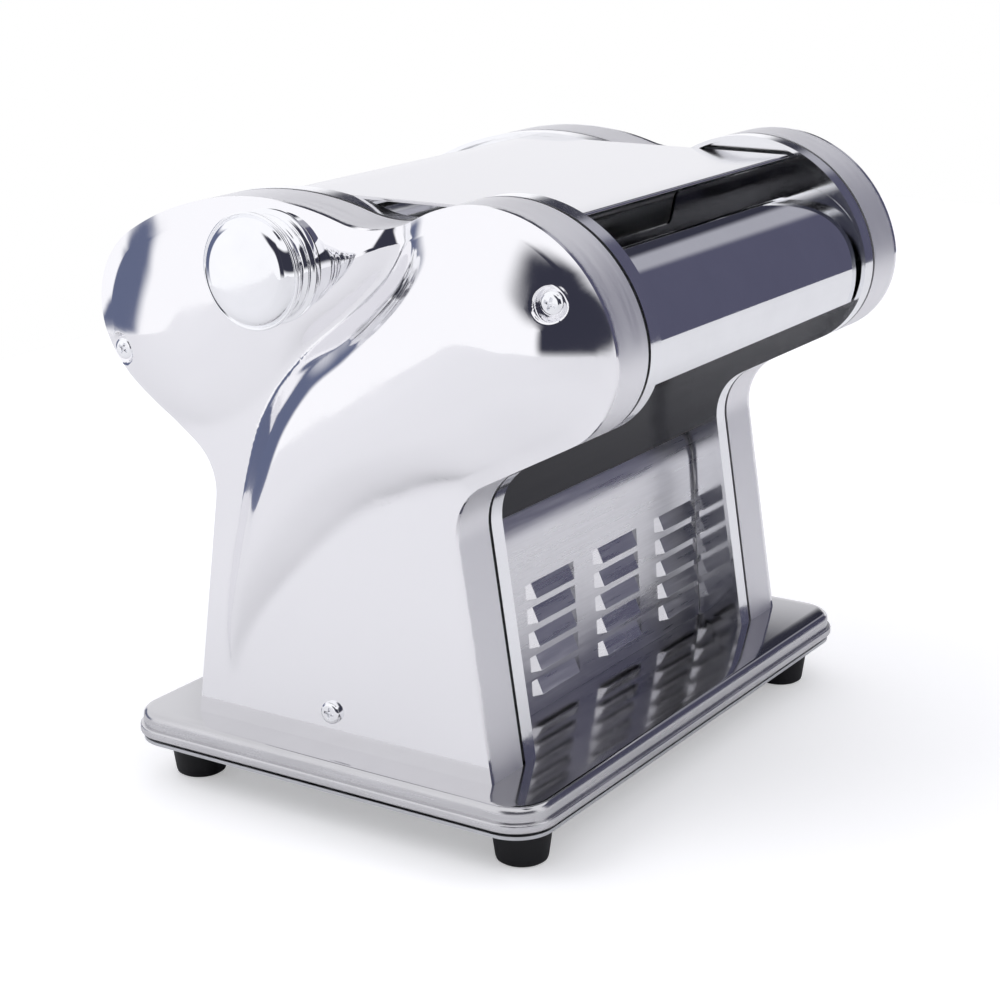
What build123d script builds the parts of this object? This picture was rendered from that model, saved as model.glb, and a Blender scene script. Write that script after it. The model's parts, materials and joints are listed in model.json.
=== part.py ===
from build123d import *
import math
import os

# Electric pasta maker. Millimetres, +Z up. X runs across the machine, from the sheeting
# rollers (-X) to the cutting rollers (+X). Y runs along the rollers, from the knob end (-Y,
# "near") to the gear end (+Y, "far"). The origin is on the floor under the middle of the base.

# ---------------------------------------------------------------- driving dimensions
# Clearances
running_clearance = 0.05      # radial play of a journal or a stud in its bore
sliding_clearance = 0.15      # play of a block that slides in a slot
side_gap = 0.6                # axial play of a roller between the end plates
yoke_play = 0.35              # play of the cam in its yoke, which takes up the cam's sine
air_gap = 0.3                 # smallest gap kept between pieces that must not touch
gear_backlash = 0.24          # play along the pitch circle of a pair of gears

# Base
foot_height = 15.6
foot_bottom_radius = 8.8
foot_top_radius = 11.0
foot_x = 69.0
foot_y = 95.0
base_plate_thickness = 1.2
tray_wall = 1.2
tray_lip_half = (86.1, 116.5)
tray_lip_corner = 15.0
tray_lip_width = 3.0
tray_step_height = 4.4
tray_step_in = 1.3
tray_top = 26.6
tray_top_rounding = 2.6

# End frames: the outline is a chain of tangent arcs in X and Z
inner_half_span = 80.0
plate_thickness = 1.5
rim_depth = 5.0
seal_thickness = 1.0
seal_inset = 0.8
seal_width = 2.4
cover_depth = 19.5
cover_wall = 1.0
cover_crease = 3.0
raised_wall = 1.6
foot_half_width = 62.0
waist_centre = Vector(69.5, 110.5)
waist_radius = 20.0
right_side_centre = Vector(78.2, 172.3)
right_side_radius = 30.5
right_top_radius = 49.0
right_top_z = 216.9
valley_radius = 41.0
left_top_radius = 108.0
left_top_z = 212.5
left_side_centre = Vector(-67.0, 171.0)
left_side_radius = 30.0

# Rollers
roller_radius = 16.0
journal_radius = 5.0
fixed_roller_at = Vector(-38.0, 172.0)
roller_rest_gap = 0.6
roller_gap_travel = 2.6
cutter_at = Vector(57.0, 170.0)
cutter_overlap = 1.0
noodle_width = 4.0
noodle_groove_depth = 2.2
disc_side_play = 0.08
bush_radius = 8.0
bush_length = 3.0

# Gears: module and numbers of teeth
train_module = 1.5
pinion_teeth = 16
idler_teeth = 50
roller_gear_teeth = 37
cutter_gear_teeth = 36
pair_teeth = 16
roller_pair_module = 2.0 * roller_radius / pair_teeth
cutter_pair_module = 1.5
pair_gear_width = 5.0
train_gear_width = 5.6
level_gap = 1.0               # room along Y between the carriages and the two rows of gears
pressure_angle = math.radians(20.0)
gear_hole_orbit = 0.58        # shares of the pitch radius
gear_hole_size = 0.2

# Adjusting mechanism
shaft_at = Vector(-10.0, 194.0)
shaft_radius = 5.0
shaft_flat = 3.8
cam_radius = 9.0
carriage_thickness = 2.5
carriage_gap = 0.2            # room between the bushes' ends and the carriages
block_half_width = 9.0
block_half_height = 9.5
block_rim = 1.0               # of the carriage plate around the block
yoke_rim = 4.5                # of the carriage plate around the cam
bush_room = 1.0               # between the carriage plate and the fixed roller's bush
knob_radius = 19.0
knob_gap = 0.4                # from the index plate to the knob
knob_length = 18.0
knob_wall = 2.0
knob_floor = 2.5
knob_rounding = 2.5
knob_bead = 4.0               # width of the bead around the knob's face
knob_groove_start = 5.4
knob_groove_width = 1.2
knob_groove_depth = 1.2
knob_hub_radius = 11.5
knob_hub_wall = 2.0
pin_boss = 3.0                # of the knob's web outside the pin's orbit
shaft_tip_gap = 2.0           # from the shaft's end to the knob's face
retainer_thickness = 1.2
retainer_rim = 1.4
spring_seat_gap = 0.05
knob_travel = 6.0
index_plate_radius = 16.5
index_plate_thickness = 2.6
index_pin_radius = 1.5
index_pin_orbit = 13.4
index_pin_depth = 2.0
spring_wire = 0.9
spring_radius = 7.2
spring_turns = 3.0

# Raised forms of the end covers: closed curves in X and Z, from the foot to the crown
crescent_height = 12.5
crescent_shoulder = 0.6
crescent_foot = [(-46, 44), (-47.5, 62), (-42, 90), (-32, 122), (-19, 150), (0, 170), (18, 187), (33, 202)]
crescent_foot += [(60, 212), (91, 199), (104, 173), (92, 152), (58, 133), (21, 117), (-12, 93.5), (-36, 63)]
crescent_crown = [(-38, 70), (-37, 78), (-30, 97), (-20, 116), (-5, 140), (12, 165), (26, 183), (37, 196)]
crescent_crown += [(54, 196), (70, 186), (78, 171), (72, 159), (50, 148), (24, 133), (0, 114), (-24, 87)]
dome_height = 7.0
dome_shoulder = 0.6
dome_foot = [(-93, 165), (-87, 147), (-72, 135.5), (-55, 133), (-38, 141), (-22, 155), (-3, 170), (15, 185)]
dome_foot += [(21, 200), (-14, 207), (-50, 207), (-78, 196)]
dome_crown = [(-72, 168), (-67, 158), (-58, 152), (-46, 152), (-34, 160), (-22, 168), (-4, 177), (8, 187)]
dome_crown += [(13, 197), (-14, 202), (-46, 200), (-65, 187)]

# Sheet metal between the end frames
sheet = 1.0
panel_foot_x = 41.0
panel_top_x = 36.0
panel_top_z = 101.0
panel_fold = 3.0
deflector_top = (48.0, 150.0)
deflector_bow = 1.5
louvre_column_pitch = 45.3
louvre_end_gap = 0.4          # from the last louvre to the far end plate
louvre_foot = 6.5             # from the tray to the lowest louvre
louvre_length = 32.0
louvre_pitch = 8.8
louvre_rows = 5
louvre_height = 5.5
louvre_depth = 2.2
top_plate_room = 12.0         # from the adjusting shaft up to the top plate
top_plate_left = -35.5
top_plate_right = 77.4
top_plate_fold = 5.0
guard_centre = Vector(77.1, 171.0)
guard_radius = 29.0
guard_top_angle = 75.0
guard_low_angle = -23.0
guard_lip = 5.0
roller_guard_centre = Vector(-67.0, 171.0)
roller_guard_radius = 28.0
roller_guard_angles = (112.0, 208.0)
chute_wall_x = 67.5
chute_wall_gap = 1.5          # from the inner cutter up to the wall
chute_wall_drop = 4.0         # from the top plate down to the wall
chute_step = 10.0             # how much lower the wall is at the knob end
chute_step_y = 9.0
chute_step_slope = 4.0
chute_step_rounding = 3.0
scraper_thickness = 0.8
moving_scraper_foot = (-67.0, 148.0)
comb_foot_reach = 3.0
comb_foot_drop = 20.0
tie_rod_places = ((30.0, 196.0), (0.0, 160.0), (-26.0, 114.0), (26.0, 114.0))
tie_rod_radius = 4.0
nut_radius = 6.5
nut_thickness = 3.2

# Fasteners
cover_screw_places = ((-86.5, 156.0), (88.6, 190.6), (-2.7, 38.7))
cover_screw_heights = (0.0, 3.4, 0.0)
screw_seat_radius = 5.2
screw_head_radius = 4.0
screw_head_height = 2.2
screw_shank_radius = 2.0
standoff_radius = 3.5
standoff_bore = 2.1
standoff_neck_radius = 2.1    # of the posts where they pass the gears
standoff_floor = 1.2

# Drive
motor_radius = 30.0
motor_wall = 12.0
motor_near = -46.0
motor_far = 44.0
bell_thickness = 4.0
rotor_gap = 0.6
rotor_end_room = 8.0          # from the rotor's core to the ends of the stator
rotor_shaft_radius = 4.0
fan_radius = 26.0
fan_hub_radius = 9.0
fan_blade_root = 8.0
fan_sheet = 1.2
fan_start = -62.0
fan_width = 8.0
fan_blades = 9
gearbox_radius = 28.0
output_bearing_depth = 12.0
cradle_width = 44.0
cradle_sheet = 2.0
cradle_inset = 12.0
cradle_foot = 14.0
capacitor_radius = 12.0
capacitor_x = 25.0
capacitor_ends = (-20.0, 26.0)
terminal_radius = 1.2
terminal_length = 6.0
terminal_spread = 4.0

# Switch and inlet on the hidden side panel
controls_z = 46.0
switch_opening = (19.0, 12.9)
switch_frame = (23.0, 15.0)
switch_depth = 14.0
inlet_frame = (30.0, 23.0)
inlet_body = (26.0, 18.0)
inlet_socket = (21.5, 14.0)
inlet_depth = 16.0
inlet_flange = 2.0
inlet_back = 1.0
inlet_pins = ((-6.0, -1.6), (0.0, 2.4), (6.0, -1.6))
inlet_pin = (2.0, 4.0)
inlet_pin_drop = 2.0
switch_flange = 1.8
switch_wall = 1.5
switch_pocket_share = 0.6
rocker_rise = 2.8
rocker_valley = 1.2
rocker_drop = 2.4
rocker_top_inset = 0.8
rocker_taper = 1.6
rocker_pin_radius = 1.0
rocker_pin_reach = 0.8
rocker_swing = 12.0

# ---------------------------------------------------------------- derived sizes
lip_z = foot_height + base_plate_thickness
plate_face_y = inner_half_span + plate_thickness
cover_start_y = plate_face_y + seal_thickness
cover_face_y = cover_start_y + cover_depth
knob_seat_y = cover_face_y + dome_height
knob_base = knob_seat_y + index_plate_thickness + knob_gap
knob_front = knob_base + knob_length
shaft_end = knob_front - knob_wall - shaft_tip_gap
bush_end_y = inner_half_span + bush_length
carriage_start = bush_end_y + carriage_gap
carriage_end_y = carriage_start + carriage_thickness
pair_gear_start = carriage_end_y + level_gap
pair_gear_end = pair_gear_start + pair_gear_width
train_gear_start = pair_gear_end + level_gap
train_gear_end = train_gear_start + train_gear_width
standoff_boss_start = pair_gear_end + level_gap / 2
screw_start = standoff_boss_start + standoff_floor + air_gap
rim_start_y = inner_half_span - rim_depth
roller_half_length = inner_half_span - side_gap
moving_roller_at = fixed_roller_at - Vector(2 * roller_radius + roller_rest_gap, 0)
cutter_pitch = cutter_pair_module * pair_teeth
outer_cutter_at = cutter_at + Vector(cutter_pitch, 0)
cutter_radius = (cutter_pitch + cutter_overlap) / 2
cam_throw = roller_gap_travel / 2
panel_lean = math.degrees(math.atan2(panel_foot_x - panel_top_x, panel_top_z - tray_top))
louvre_top_z = tray_top + louvre_foot + (louvre_rows - 1) * louvre_pitch + louvre_height
last_louvre_y = inner_half_span - louvre_end_gap - louvre_length / 2
louvre_columns = [last_louvre_y - step * louvre_column_pitch for step in (2, 1, 0)]
controls_room = louvre_columns[1] - louvre_length / 2 + inner_half_span
controls_gap = (controls_room - inlet_frame[0] - switch_frame[0]) / 3
switch_y = controls_gap + switch_frame[0] / 2 - inner_half_span
inlet_y = switch_y + switch_frame[0] / 2 + controls_gap + inlet_frame[0] / 2
top_plate_z = shaft_at.Y + shaft_radius + top_plate_room
gearbox_start = motor_far + bell_thickness


def pitch_radius(teeth, module=train_module):
    """Pitch radius of a gear."""
    return teeth * module / 2


def between(first, first_distance, second, second_distance):
    """Point on the right of the line from first to second, at the given distances from them."""
    line = second - first
    along = (first_distance ** 2 - second_distance ** 2 + line.length ** 2) / (2 * line.length)
    aside = math.sqrt(first_distance ** 2 - along ** 2)
    direction = line.normalized()
    return first + direction * along + Vector(direction.Y, -direction.X) * aside


def lobe_top_centre(side_centre, side_radius, top_radius, top_z, inward):
    """Centre of the flatter arc that carries on from a lobe's side to its highest point."""
    drop = side_centre.Y - (top_z - top_radius)
    reach = math.sqrt((top_radius - side_radius) ** 2 - drop ** 2)
    return Vector(side_centre.X + inward * reach, top_z - top_radius)


idler_at = between(
    fixed_roller_at,
    pitch_radius(roller_gear_teeth) + pitch_radius(idler_teeth),
    cutter_at,
    pitch_radius(cutter_gear_teeth) + pitch_radius(idler_teeth),
)
right_top_centre = lobe_top_centre(right_side_centre, right_side_radius, right_top_radius, right_top_z, -1)
left_top_centre = lobe_top_centre(left_side_centre, left_side_radius, left_top_radius, left_top_z, 1)
valley_centre = between(
    right_top_centre,
    right_top_radius + valley_radius,
    left_top_centre,
    left_top_radius + valley_radius,
)
pinion_reach = pitch_radius(idler_teeth) + pitch_radius(pinion_teeth)
motor_at = Vector(0, idler_at.Y - math.sqrt(pinion_reach ** 2 - idler_at.X ** 2))


# ---------------------------------------------------------------- drawing helpers
def prism(profile, y_low, y_high):
    """Solid of a profile drawn in X and Z, between two planes across the rollers."""
    return extrude(Plane.XZ.offset(-y_high) * profile, y_high - y_low)


def disc(at, radius, y_low, y_high):
    """Cylinder along Y."""
    return prism(Pos(at.X, at.Y) * Circle(radius), y_low, y_high)


def tube(at, outer, inner, y_low, y_high):
    """Hollow cylinder along Y."""
    return prism(Pos(at.X, at.Y) * (Circle(outer) - Circle(inner)), y_low, y_high)


def mirrored(shape):
    """The same piece at the other end of the machine."""
    return mirror(shape, about=Plane.XZ)


def polar(radius, degrees):
    """Vector of the given length and direction in X and Z."""
    angle = math.radians(degrees)
    return Vector(radius * math.cos(angle), radius * math.sin(angle))


def arc_about(centre, start, end):
    """Arc of less than half a turn about a centre."""
    radius = (start - centre).length
    middle = centre + (start - centre + end - centre).normalized() * radius
    return ThreePointArc(start, middle, end)


def bent_sheet(path, thickness):
    """Profile of a sheet of metal that lies on the left of an open path."""
    return make_face(offset(path, amount=thickness, side=Side.LEFT, closed=True).edges())


# ---------------------------------------------------------------- end outline
def leg_and_waist(side_centre, side_radius, inset):
    """Foot, waist and lobe points of the right-hand edge, set in by a distance."""
    corner = Vector(foot_half_width, tray_top)
    to_waist = waist_centre - corner
    lean = math.asin(waist_radius / to_waist.length)
    leg_angle = math.atan2(to_waist.Y, to_waist.X) + lean
    leg_normal = Vector(-math.sin(leg_angle), math.cos(leg_angle))
    waist_low = waist_centre + leg_normal * (waist_radius + inset)
    foot_z = tray_top + inset
    foot = Vector(waist_low.X + (foot_z - waist_low.Y) / math.tan(leg_angle), foot_z)
    to_side = side_centre - waist_centre
    lean = math.asin((waist_radius + side_radius) / to_side.length)
    brow_angle = math.atan2(to_side.Y, to_side.X) - lean
    brow_normal = Vector(-math.sin(brow_angle), math.cos(brow_angle))
    waist_high = waist_centre + brow_normal * (waist_radius + inset)
    lobe_low = side_centre - brow_normal * (side_radius - inset)
    return foot, waist_low, waist_high, lobe_low


def flip(point):
    """The same point on the left-hand side."""
    return Vector(-point.X, point.Y)


def end_outline(inset=0.0):
    """Outline shared by the end plates, seals and covers."""
    foot, low, high, lobe = leg_and_waist(right_side_centre, right_side_radius, inset)
    mirror_centre = flip(left_side_centre)
    points = leg_and_waist(mirror_centre, left_side_radius, inset)
    foot_left, low_left, high_left, lobe_left = [flip(point) for point in points]
    right_top = right_top_radius - inset
    left_top = left_top_radius - inset
    right_shoulder = right_top_centre + (right_side_centre - right_top_centre).normalized() * right_top
    valley_right = right_top_centre + (valley_centre - right_top_centre).normalized() * right_top
    valley_left = left_top_centre + (valley_centre - left_top_centre).normalized() * left_top
    left_shoulder = left_top_centre + (left_side_centre - left_top_centre).normalized() * left_top
    edges = [
        Line(foot_left, foot),
        Line(foot, low),
        arc_about(waist_centre, low, high),
        Line(high, lobe),
        arc_about(right_side_centre, lobe, right_shoulder),
        arc_about(right_top_centre, right_shoulder, valley_right),
        arc_about(valley_centre, valley_right, valley_left),
        arc_about(left_top_centre, valley_left, left_shoulder),
        arc_about(left_side_centre, left_shoulder, lobe_left),
        Line(lobe_left, high_left),
        arc_about(flip(waist_centre), high_left, low_left),
        Line(low_left, foot_left),
    ]
    return make_face(edges)


# ---------------------------------------------------------------- base
def rounded_block(half_size, corner, z_low, z_high):
    """Rectangular block with rounded upright edges."""
    outline = RectangleRounded(2 * half_size[0], 2 * half_size[1], corner)
    return extrude(Pos(0, 0, z_low) * outline, z_high - z_low)


def tray_block(inset, top_z, rounding):
    """Wall and top of the tray as one block, set in by a wall's thickness."""
    lower = [half - tray_lip_width - inset for half in tray_lip_half]
    upper = [half - tray_step_in for half in lower]
    corner = tray_lip_corner - tray_lip_width - inset
    step_z = lip_z + tray_step_height
    block = rounded_block(lower, corner, lip_z, step_z - inset)
    top = rounded_block(upper, corner - tray_step_in, lip_z, top_z)
    top = fillet(top.faces().sort_by(Axis.Z)[-1].edges(), rounding)
    return block + top


def base_tray():
    """Pressed steel tray with a lip, a stepped wall and a rounded top edge."""
    lip = rounded_block(tray_lip_half, tray_lip_corner, lip_z, lip_z + tray_wall)
    outside = tray_block(0.0, tray_top, tray_top_rounding)
    inside = tray_block(tray_wall, tray_top - tray_wall, tray_top_rounding - tray_wall)
    return lip + outside - inside


def base_plate():
    """Flat plate that closes the tray from below and takes the feet."""
    half_size = [half - tray_wall for half in tray_lip_half]
    plate = rounded_block(half_size, tray_lip_corner - tray_wall, foot_height, lip_z)
    for x in (-foot_x, foot_x):
        for y in (-foot_y, foot_y):
            plate -= Pos(x, y, foot_height) * Cylinder(screw_shank_radius + air_gap, 2 * base_plate_thickness)
    return plate


def foot(x, y):
    """Tapered rubber foot with a recess for its screw."""
    profile = Polyline(
        (0, 0), (foot_bottom_radius, 0), (foot_top_radius, foot_height), (0, foot_height), close=True
    )
    body = revolve(Plane.XZ * make_face(profile), Axis.Z)
    recess = Cylinder(screw_head_radius + air_gap, foot_height / 2)
    body -= Pos(0, 0, foot_height / 4) * recess
    body -= Pos(0, 0, foot_height / 2) * Cylinder(screw_shank_radius + running_clearance, 2 * foot_height)
    return Pos(x, y, 0) * body


def foot_screws():
    """Pan head screws that hold the feet to the base plate."""
    screws = []
    head_z = foot_height / 2 - screw_head_height / 2
    shank_length = foot_height / 2 + 2 * base_plate_thickness
    for x in (-foot_x, foot_x):
        for y in (-foot_y, foot_y):
            head = Pos(x, y, head_z) * Cylinder(screw_head_radius, screw_head_height)
            shank = Cylinder(screw_shank_radius, shank_length)
            screws.append(head + Pos(x, y, foot_height / 2 + shank_length / 2) * shank)
    return screws


# ---------------------------------------------------------------- end frames and covers
def carriage_slot():
    """Opening in an end plate in which the block of the movable roller slides."""
    centre = moving_roller_at - Vector(roller_gap_travel / 2, 0)
    width = 2 * block_half_width + roller_gap_travel + 2 * sliding_clearance
    height = 2 * block_half_height + 2 * sliding_clearance
    return Pos(centre.X, centre.Y) * Rectangle(width, height)


def end_plate():
    """Far end plate: a flat web with an inward rim, bored for the shafts and rods."""
    web = prism(end_outline(), inner_half_span, plate_face_y)
    rim = prism(end_outline() - end_outline(plate_thickness), rim_start_y, plate_face_y)
    plate = web + rim
    through = (inner_half_span - 1, plate_face_y)
    for at in (fixed_roller_at, cutter_at, outer_cutter_at, shaft_at):
        plate -= disc(at, bush_radius, *through)
    for place in tie_rod_places:
        plate -= disc(Vector(place), tie_rod_radius, *through)
    return plate - prism(carriage_slot(), *through)


def far_end_plate():
    """The far plate also lets the motor's output shaft and the idler's stud through."""
    plate = end_plate()
    plate -= disc(motor_at, journal_radius + 2, inner_half_span - 1, plate_face_y)
    return plate - disc(idler_at, journal_radius, inner_half_span - 1, plate_face_y)


def cover_seals():
    """Black rubber strips between the end plates' rims and their covers."""
    ring = end_outline(seal_inset) - end_outline(seal_inset + seal_width)
    for place in cover_screw_places:
        ring -= Pos(*place) * Circle(standoff_radius + air_gap)
    seal = prism(ring, plate_face_y, cover_start_y)
    return [seal, mirrored(seal)]


def blend_points(first, second, share):
    """Closed curve part of the way from one curve to another."""
    points = []
    for start, end in zip(first, second):
        points.append(Vector(start) + (Vector(end) - Vector(start)) * share)
    return points


def raised_form(foot_points, crown_points, height, shoulder):
    """Pressed form on the cover's face, lofted from its foot up to its crown."""
    sections = []
    for share, rise in ((0.0, -0.5), (0.3, shoulder * height), (1.0, height)):
        curve = Spline(blend_points(foot_points, crown_points, share), periodic=True)
        sections.append(Plane.XZ.offset(-(cover_face_y + rise)) * make_face(curve))
    return loft(sections)


def cover_pan(inset, depth_in):
    """Skirt and face of a cover as one block with a rounded crease."""
    pan = prism(end_outline(inset), cover_start_y, cover_face_y - depth_in)
    return fillet(pan.faces().sort_by(Axis.Y)[-1].edges(), cover_crease - depth_in)


def cover_forms():
    """The crescent and the dome that are pressed out of a cover's face."""
    crescent = raised_form(crescent_foot, crescent_crown, crescent_height, crescent_shoulder)
    dome = raised_form(dome_foot, dome_crown, dome_height, dome_shoulder)
    return crescent + dome


def far_cover():
    """Thin pressed cover of the gear end, with the holes for its three screws."""
    forms = cover_forms()
    outside = cover_pan(0.0, 0.0) + forms
    inside = cover_pan(cover_wall, cover_wall) + Pos(0, -raised_wall, 0) * forms
    highest = cover_face_y + crescent_height + 1
    for place, height in zip(cover_screw_places, cover_screw_heights):
        at = Vector(place)
        seat = cover_face_y + height
        outside -= disc(at, screw_seat_radius, seat, highest)
        inside -= disc(at, screw_seat_radius + cover_wall, seat - cover_wall, highest)
        inside += disc(at, screw_shank_radius + air_gap, seat - 2 * cover_wall, highest)
    return outside - inside


def near_cover():
    """Cover of the knob end: as the far one, with a hole for the adjusting shaft."""
    cover = mirrored(far_cover())
    cover -= disc(shaft_at, index_plate_radius, -(knob_seat_y + index_plate_thickness), -knob_seat_y)
    return cover - disc(shaft_at, shaft_radius + 1, -knob_base, -cover_start_y)


def cover_screw(place, height):
    """Pan head screw with a cross recess, at the far end."""
    at = Vector(place)
    head_start = cover_face_y + height
    head = disc(at, screw_head_radius, head_start, head_start + screw_head_height)
    head = fillet(head.edges().sort_by(Axis.Y)[-1], screw_head_height / 2)
    slot = Rectangle(screw_head_radius, screw_head_height / 3)
    cross = Pos(at.X, at.Y) * (slot + Rot(0, 0, 90) * slot)
    head -= prism(cross, head_start + screw_head_height / 2, head_start + screw_head_height)
    return head + disc(at, screw_shank_radius, screw_start, head_start)


def cover_screws():
    """Three screws in each cover."""
    screws = []
    for place, height in zip(cover_screw_places, cover_screw_heights):
        screw = cover_screw(place, height)
        screws += [screw, mirrored(screw)]
    return screws


def cover_standoffs():
    """Posts on the end plates that take the cover screws, slim where they pass the gears."""
    posts = []
    for place, height in zip(cover_screw_places, cover_screw_heights):
        at = Vector(place)
        end = cover_face_y + height - cover_wall
        post = disc(at, standoff_neck_radius, plate_face_y, standoff_boss_start)
        post += disc(at, standoff_radius, standoff_boss_start, end)
        post -= disc(at, standoff_bore, standoff_boss_start + standoff_floor, end)
        posts += [post, mirrored(post)]
    return posts


# ---------------------------------------------------------------- sheet metal between the ends
def span(profile):
    """Sheet that runs from end plate to end plate."""
    return prism(profile, -inner_half_span, inner_half_span)


def side_panel():
    """Side panel of the motor housing: a leaning wall with a folded top, over the plates' rims."""
    corner = (panel_top_x, panel_top_z)
    fold_end = (panel_top_x - 2 * panel_fold, panel_top_z)
    path = FilletPolyline((panel_foot_x, tray_top), corner, fold_end, radius=panel_fold)
    panel = span(bent_sheet(path, sheet))
    below = Pos(panel_foot_x, tray_top) * Rectangle(4 * sheet, 2 * sheet, align=(Align.CENTER, Align.MAX))
    panel -= span(below)
    notch = Pos(0, plate_thickness) * below
    for side in (-1, 1):
        middle = side * (rim_start_y + inner_half_span) / 2
        panel -= prism(notch, middle - rim_depth / 2, middle + rim_depth / 2)
    return panel


def panel_x(z):
    """Outer face of the right-hand side panel at a height."""
    return panel_foot_x - (z - tray_top) * math.tan(math.radians(panel_lean))


def louvre(y_centre, z_top):
    """Hood of one louvre and the slot that it covers."""
    z_low = z_top - louvre_height
    outer = Polyline(
        (panel_x(z_top), z_top),
        (panel_x(z_low) + louvre_depth, z_low),
        (panel_x(z_low) - sheet, z_low),
        (panel_x(z_top) - sheet, z_top),
        close=True,
    )
    y_low = y_centre - louvre_length / 2
    y_high = y_centre + louvre_length / 2
    hood = prism(make_face(outer), y_low, y_high)
    hollow = Pos(-sheet, 0, -sheet / 2) * prism(make_face(outer), y_low + sheet, y_high - sheet)
    return hood, hollow


def louvred(panel, columns):
    """Panel with rows of louvres in the given columns."""
    for y_centre in columns:
        for row in range(louvre_rows):
            hood, hollow = louvre(y_centre, louvre_top_z - row * louvre_pitch)
            panel = panel + hood - hollow
    return panel


def controls_frame(y):
    """Plane on the outer face of the left-hand panel, with its normal pointing out."""
    lean = math.radians(panel_lean)
    normal = (-math.cos(lean), 0, math.sin(lean))
    return Plane(origin=(-panel_x(controls_z), y, controls_z), x_dir=(0, -1, 0), z_dir=normal)


def left_panel():
    """Hidden side panel, with openings for the switch and the inlet."""
    panel = mirror(louvred(side_panel(), louvre_columns[1:]), about=Plane.YZ)
    cut = 4 * sheet
    opening = Rectangle(*[size + 2 * sliding_clearance for size in switch_opening])
    panel -= extrude(controls_frame(switch_y) * opening, cut / 2, both=True)
    opening = Rectangle(*[size + 2 * sliding_clearance for size in inlet_body])
    return panel - extrude(controls_frame(inlet_y) * opening, cut / 2, both=True)


def deflector():
    """Sloping sheet that throws the dough clear of the motor housing."""
    start = Vector(panel_top_x, panel_top_z)
    end = Vector(deflector_top)
    bend = Vector(start.X + deflector_bow, (start.Y + end.Y) / 2)
    return span(bent_sheet(ThreePointArc(start, bend, end), sheet))


def top_plate():
    """Flat top plate with its long edges folded down."""
    width = top_plate_right - top_plate_left
    middle = (top_plate_right + top_plate_left) / 2
    top = Pos(middle, top_plate_z) * Rectangle(width, sheet, align=(Align.CENTER, Align.MAX))
    fold = Rectangle(sheet, top_plate_fold, align=(Align.MIN, Align.MAX))
    left = Pos(top_plate_left, top_plate_z) * fold
    return prism(top + left, -rim_start_y, rim_start_y)


def chute_wall():
    """Upright wall that guides the sheet of dough down to the cutters, cut lower at the knob end."""
    low_z = cutter_at.Y + cutter_radius + chute_wall_gap
    high_z = top_plate_z - sheet - chute_wall_drop
    step_z = high_z - chute_step
    step_start = chute_step_y - chute_step_slope
    corners = [(-inner_half_span, low_z), (inner_half_span, low_z), (inner_half_span, high_z)]
    corners += [(chute_step_y, high_z), (step_start, step_z), (-inner_half_span, step_z)]
    side = make_face(Polyline(*corners, close=True))
    bends = [vertex for vertex in side.vertices() if step_start - 1 < vertex.X < chute_step_y + 1]
    side = fillet(bends, chute_step_rounding)
    return extrude(Plane.YZ.offset(chute_wall_x) * side, -sheet)


def cutter_guard():
    """Chrome half round guard over the outer cutter, with a folded lip."""
    top = guard_centre + polar(guard_radius, guard_top_angle)
    low = guard_centre + polar(guard_radius, guard_low_angle)
    shell = arc_about(guard_centre, low, top)
    lip = Line(top, top - Vector(guard_lip, 0))
    return span(bent_sheet(Wire([shell, lip]), sheet))


def roller_guard():
    """Quarter round guard over the movable roller."""
    top = roller_guard_centre + polar(roller_guard_radius, roller_guard_angles[0])
    low = roller_guard_centre + polar(roller_guard_radius, roller_guard_angles[1])
    return span(bent_sheet(arc_about(roller_guard_centre, top, low), sheet))


def scraper(centre, radius, direction, low_point):
    """Thin blade that runs from a low point up to just under a roller."""
    tip = centre + polar(radius + scraper_thickness + air_gap, direction)
    return bent_sheet(Line(tip, Vector(low_point)), scraper_thickness)


def fixed_roller_scraper():
    """Blade that peels the dough off the fixed roller, carried by the end plates."""
    low_point = (sheet - deflector_top[0], deflector_top[1] + air_gap)
    return span(scraper(fixed_roller_at, roller_radius, -110, low_point))


def moving_roller_scraper():
    """Blade that peels the dough off the movable roller, carried by the carriages."""
    blade = scraper(moving_roller_at, roller_radius, -80, moving_scraper_foot)
    return prism(blade, -roller_half_length, roller_half_length)


def cutter_combs():
    """The two combs, one under each cutter."""
    inner_foot = (cutter_at.X - comb_foot_reach, cutter_at.Y - comb_foot_drop)
    outer_foot = (outer_cutter_at.X + comb_foot_reach, outer_cutter_at.Y - comb_foot_drop)
    return [
        cutter_comb(cutter_at, -70, inner_foot, 0.0),
        cutter_comb(outer_cutter_at, -110, outer_foot, noodle_width),
    ]


def cutter_comb(centre, direction, low_point, first_disc):
    """Blade whose fingers lie in the grooves of a cutter."""
    root = cutter_radius - noodle_groove_depth
    pitch = 2 * noodle_width
    blade = span(scraper(centre, root, direction, low_point))
    disc_width = noodle_width + 2 * air_gap
    count = int(2 * roller_half_length / pitch)
    for index in range(-count // 2 - 1, count // 2 + 2):
        middle = index * pitch + first_disc
        blade -= disc(centre, cutter_radius + air_gap, middle - disc_width / 2, middle + disc_width / 2)
    return blade.solids().sort_by(SortBy.VOLUME)[-1]


def tie_rods():
    """Rods that hold the two end plates together."""
    reach = plate_face_y + nut_thickness
    return [disc(Vector(place), tie_rod_radius, -reach, reach) for place in tie_rod_places]


def tie_rod_nuts():
    """Hexagon nuts on the ends of the rods."""
    nuts = []
    for place in tie_rod_places:
        outline = Pos(*place) * (RegularPolygon(nut_radius, 6) - Circle(tie_rod_radius))
        nut = prism(outline, plate_face_y, plate_face_y + nut_thickness)
        nuts += [nut, mirrored(nut)]
    return nuts


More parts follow.
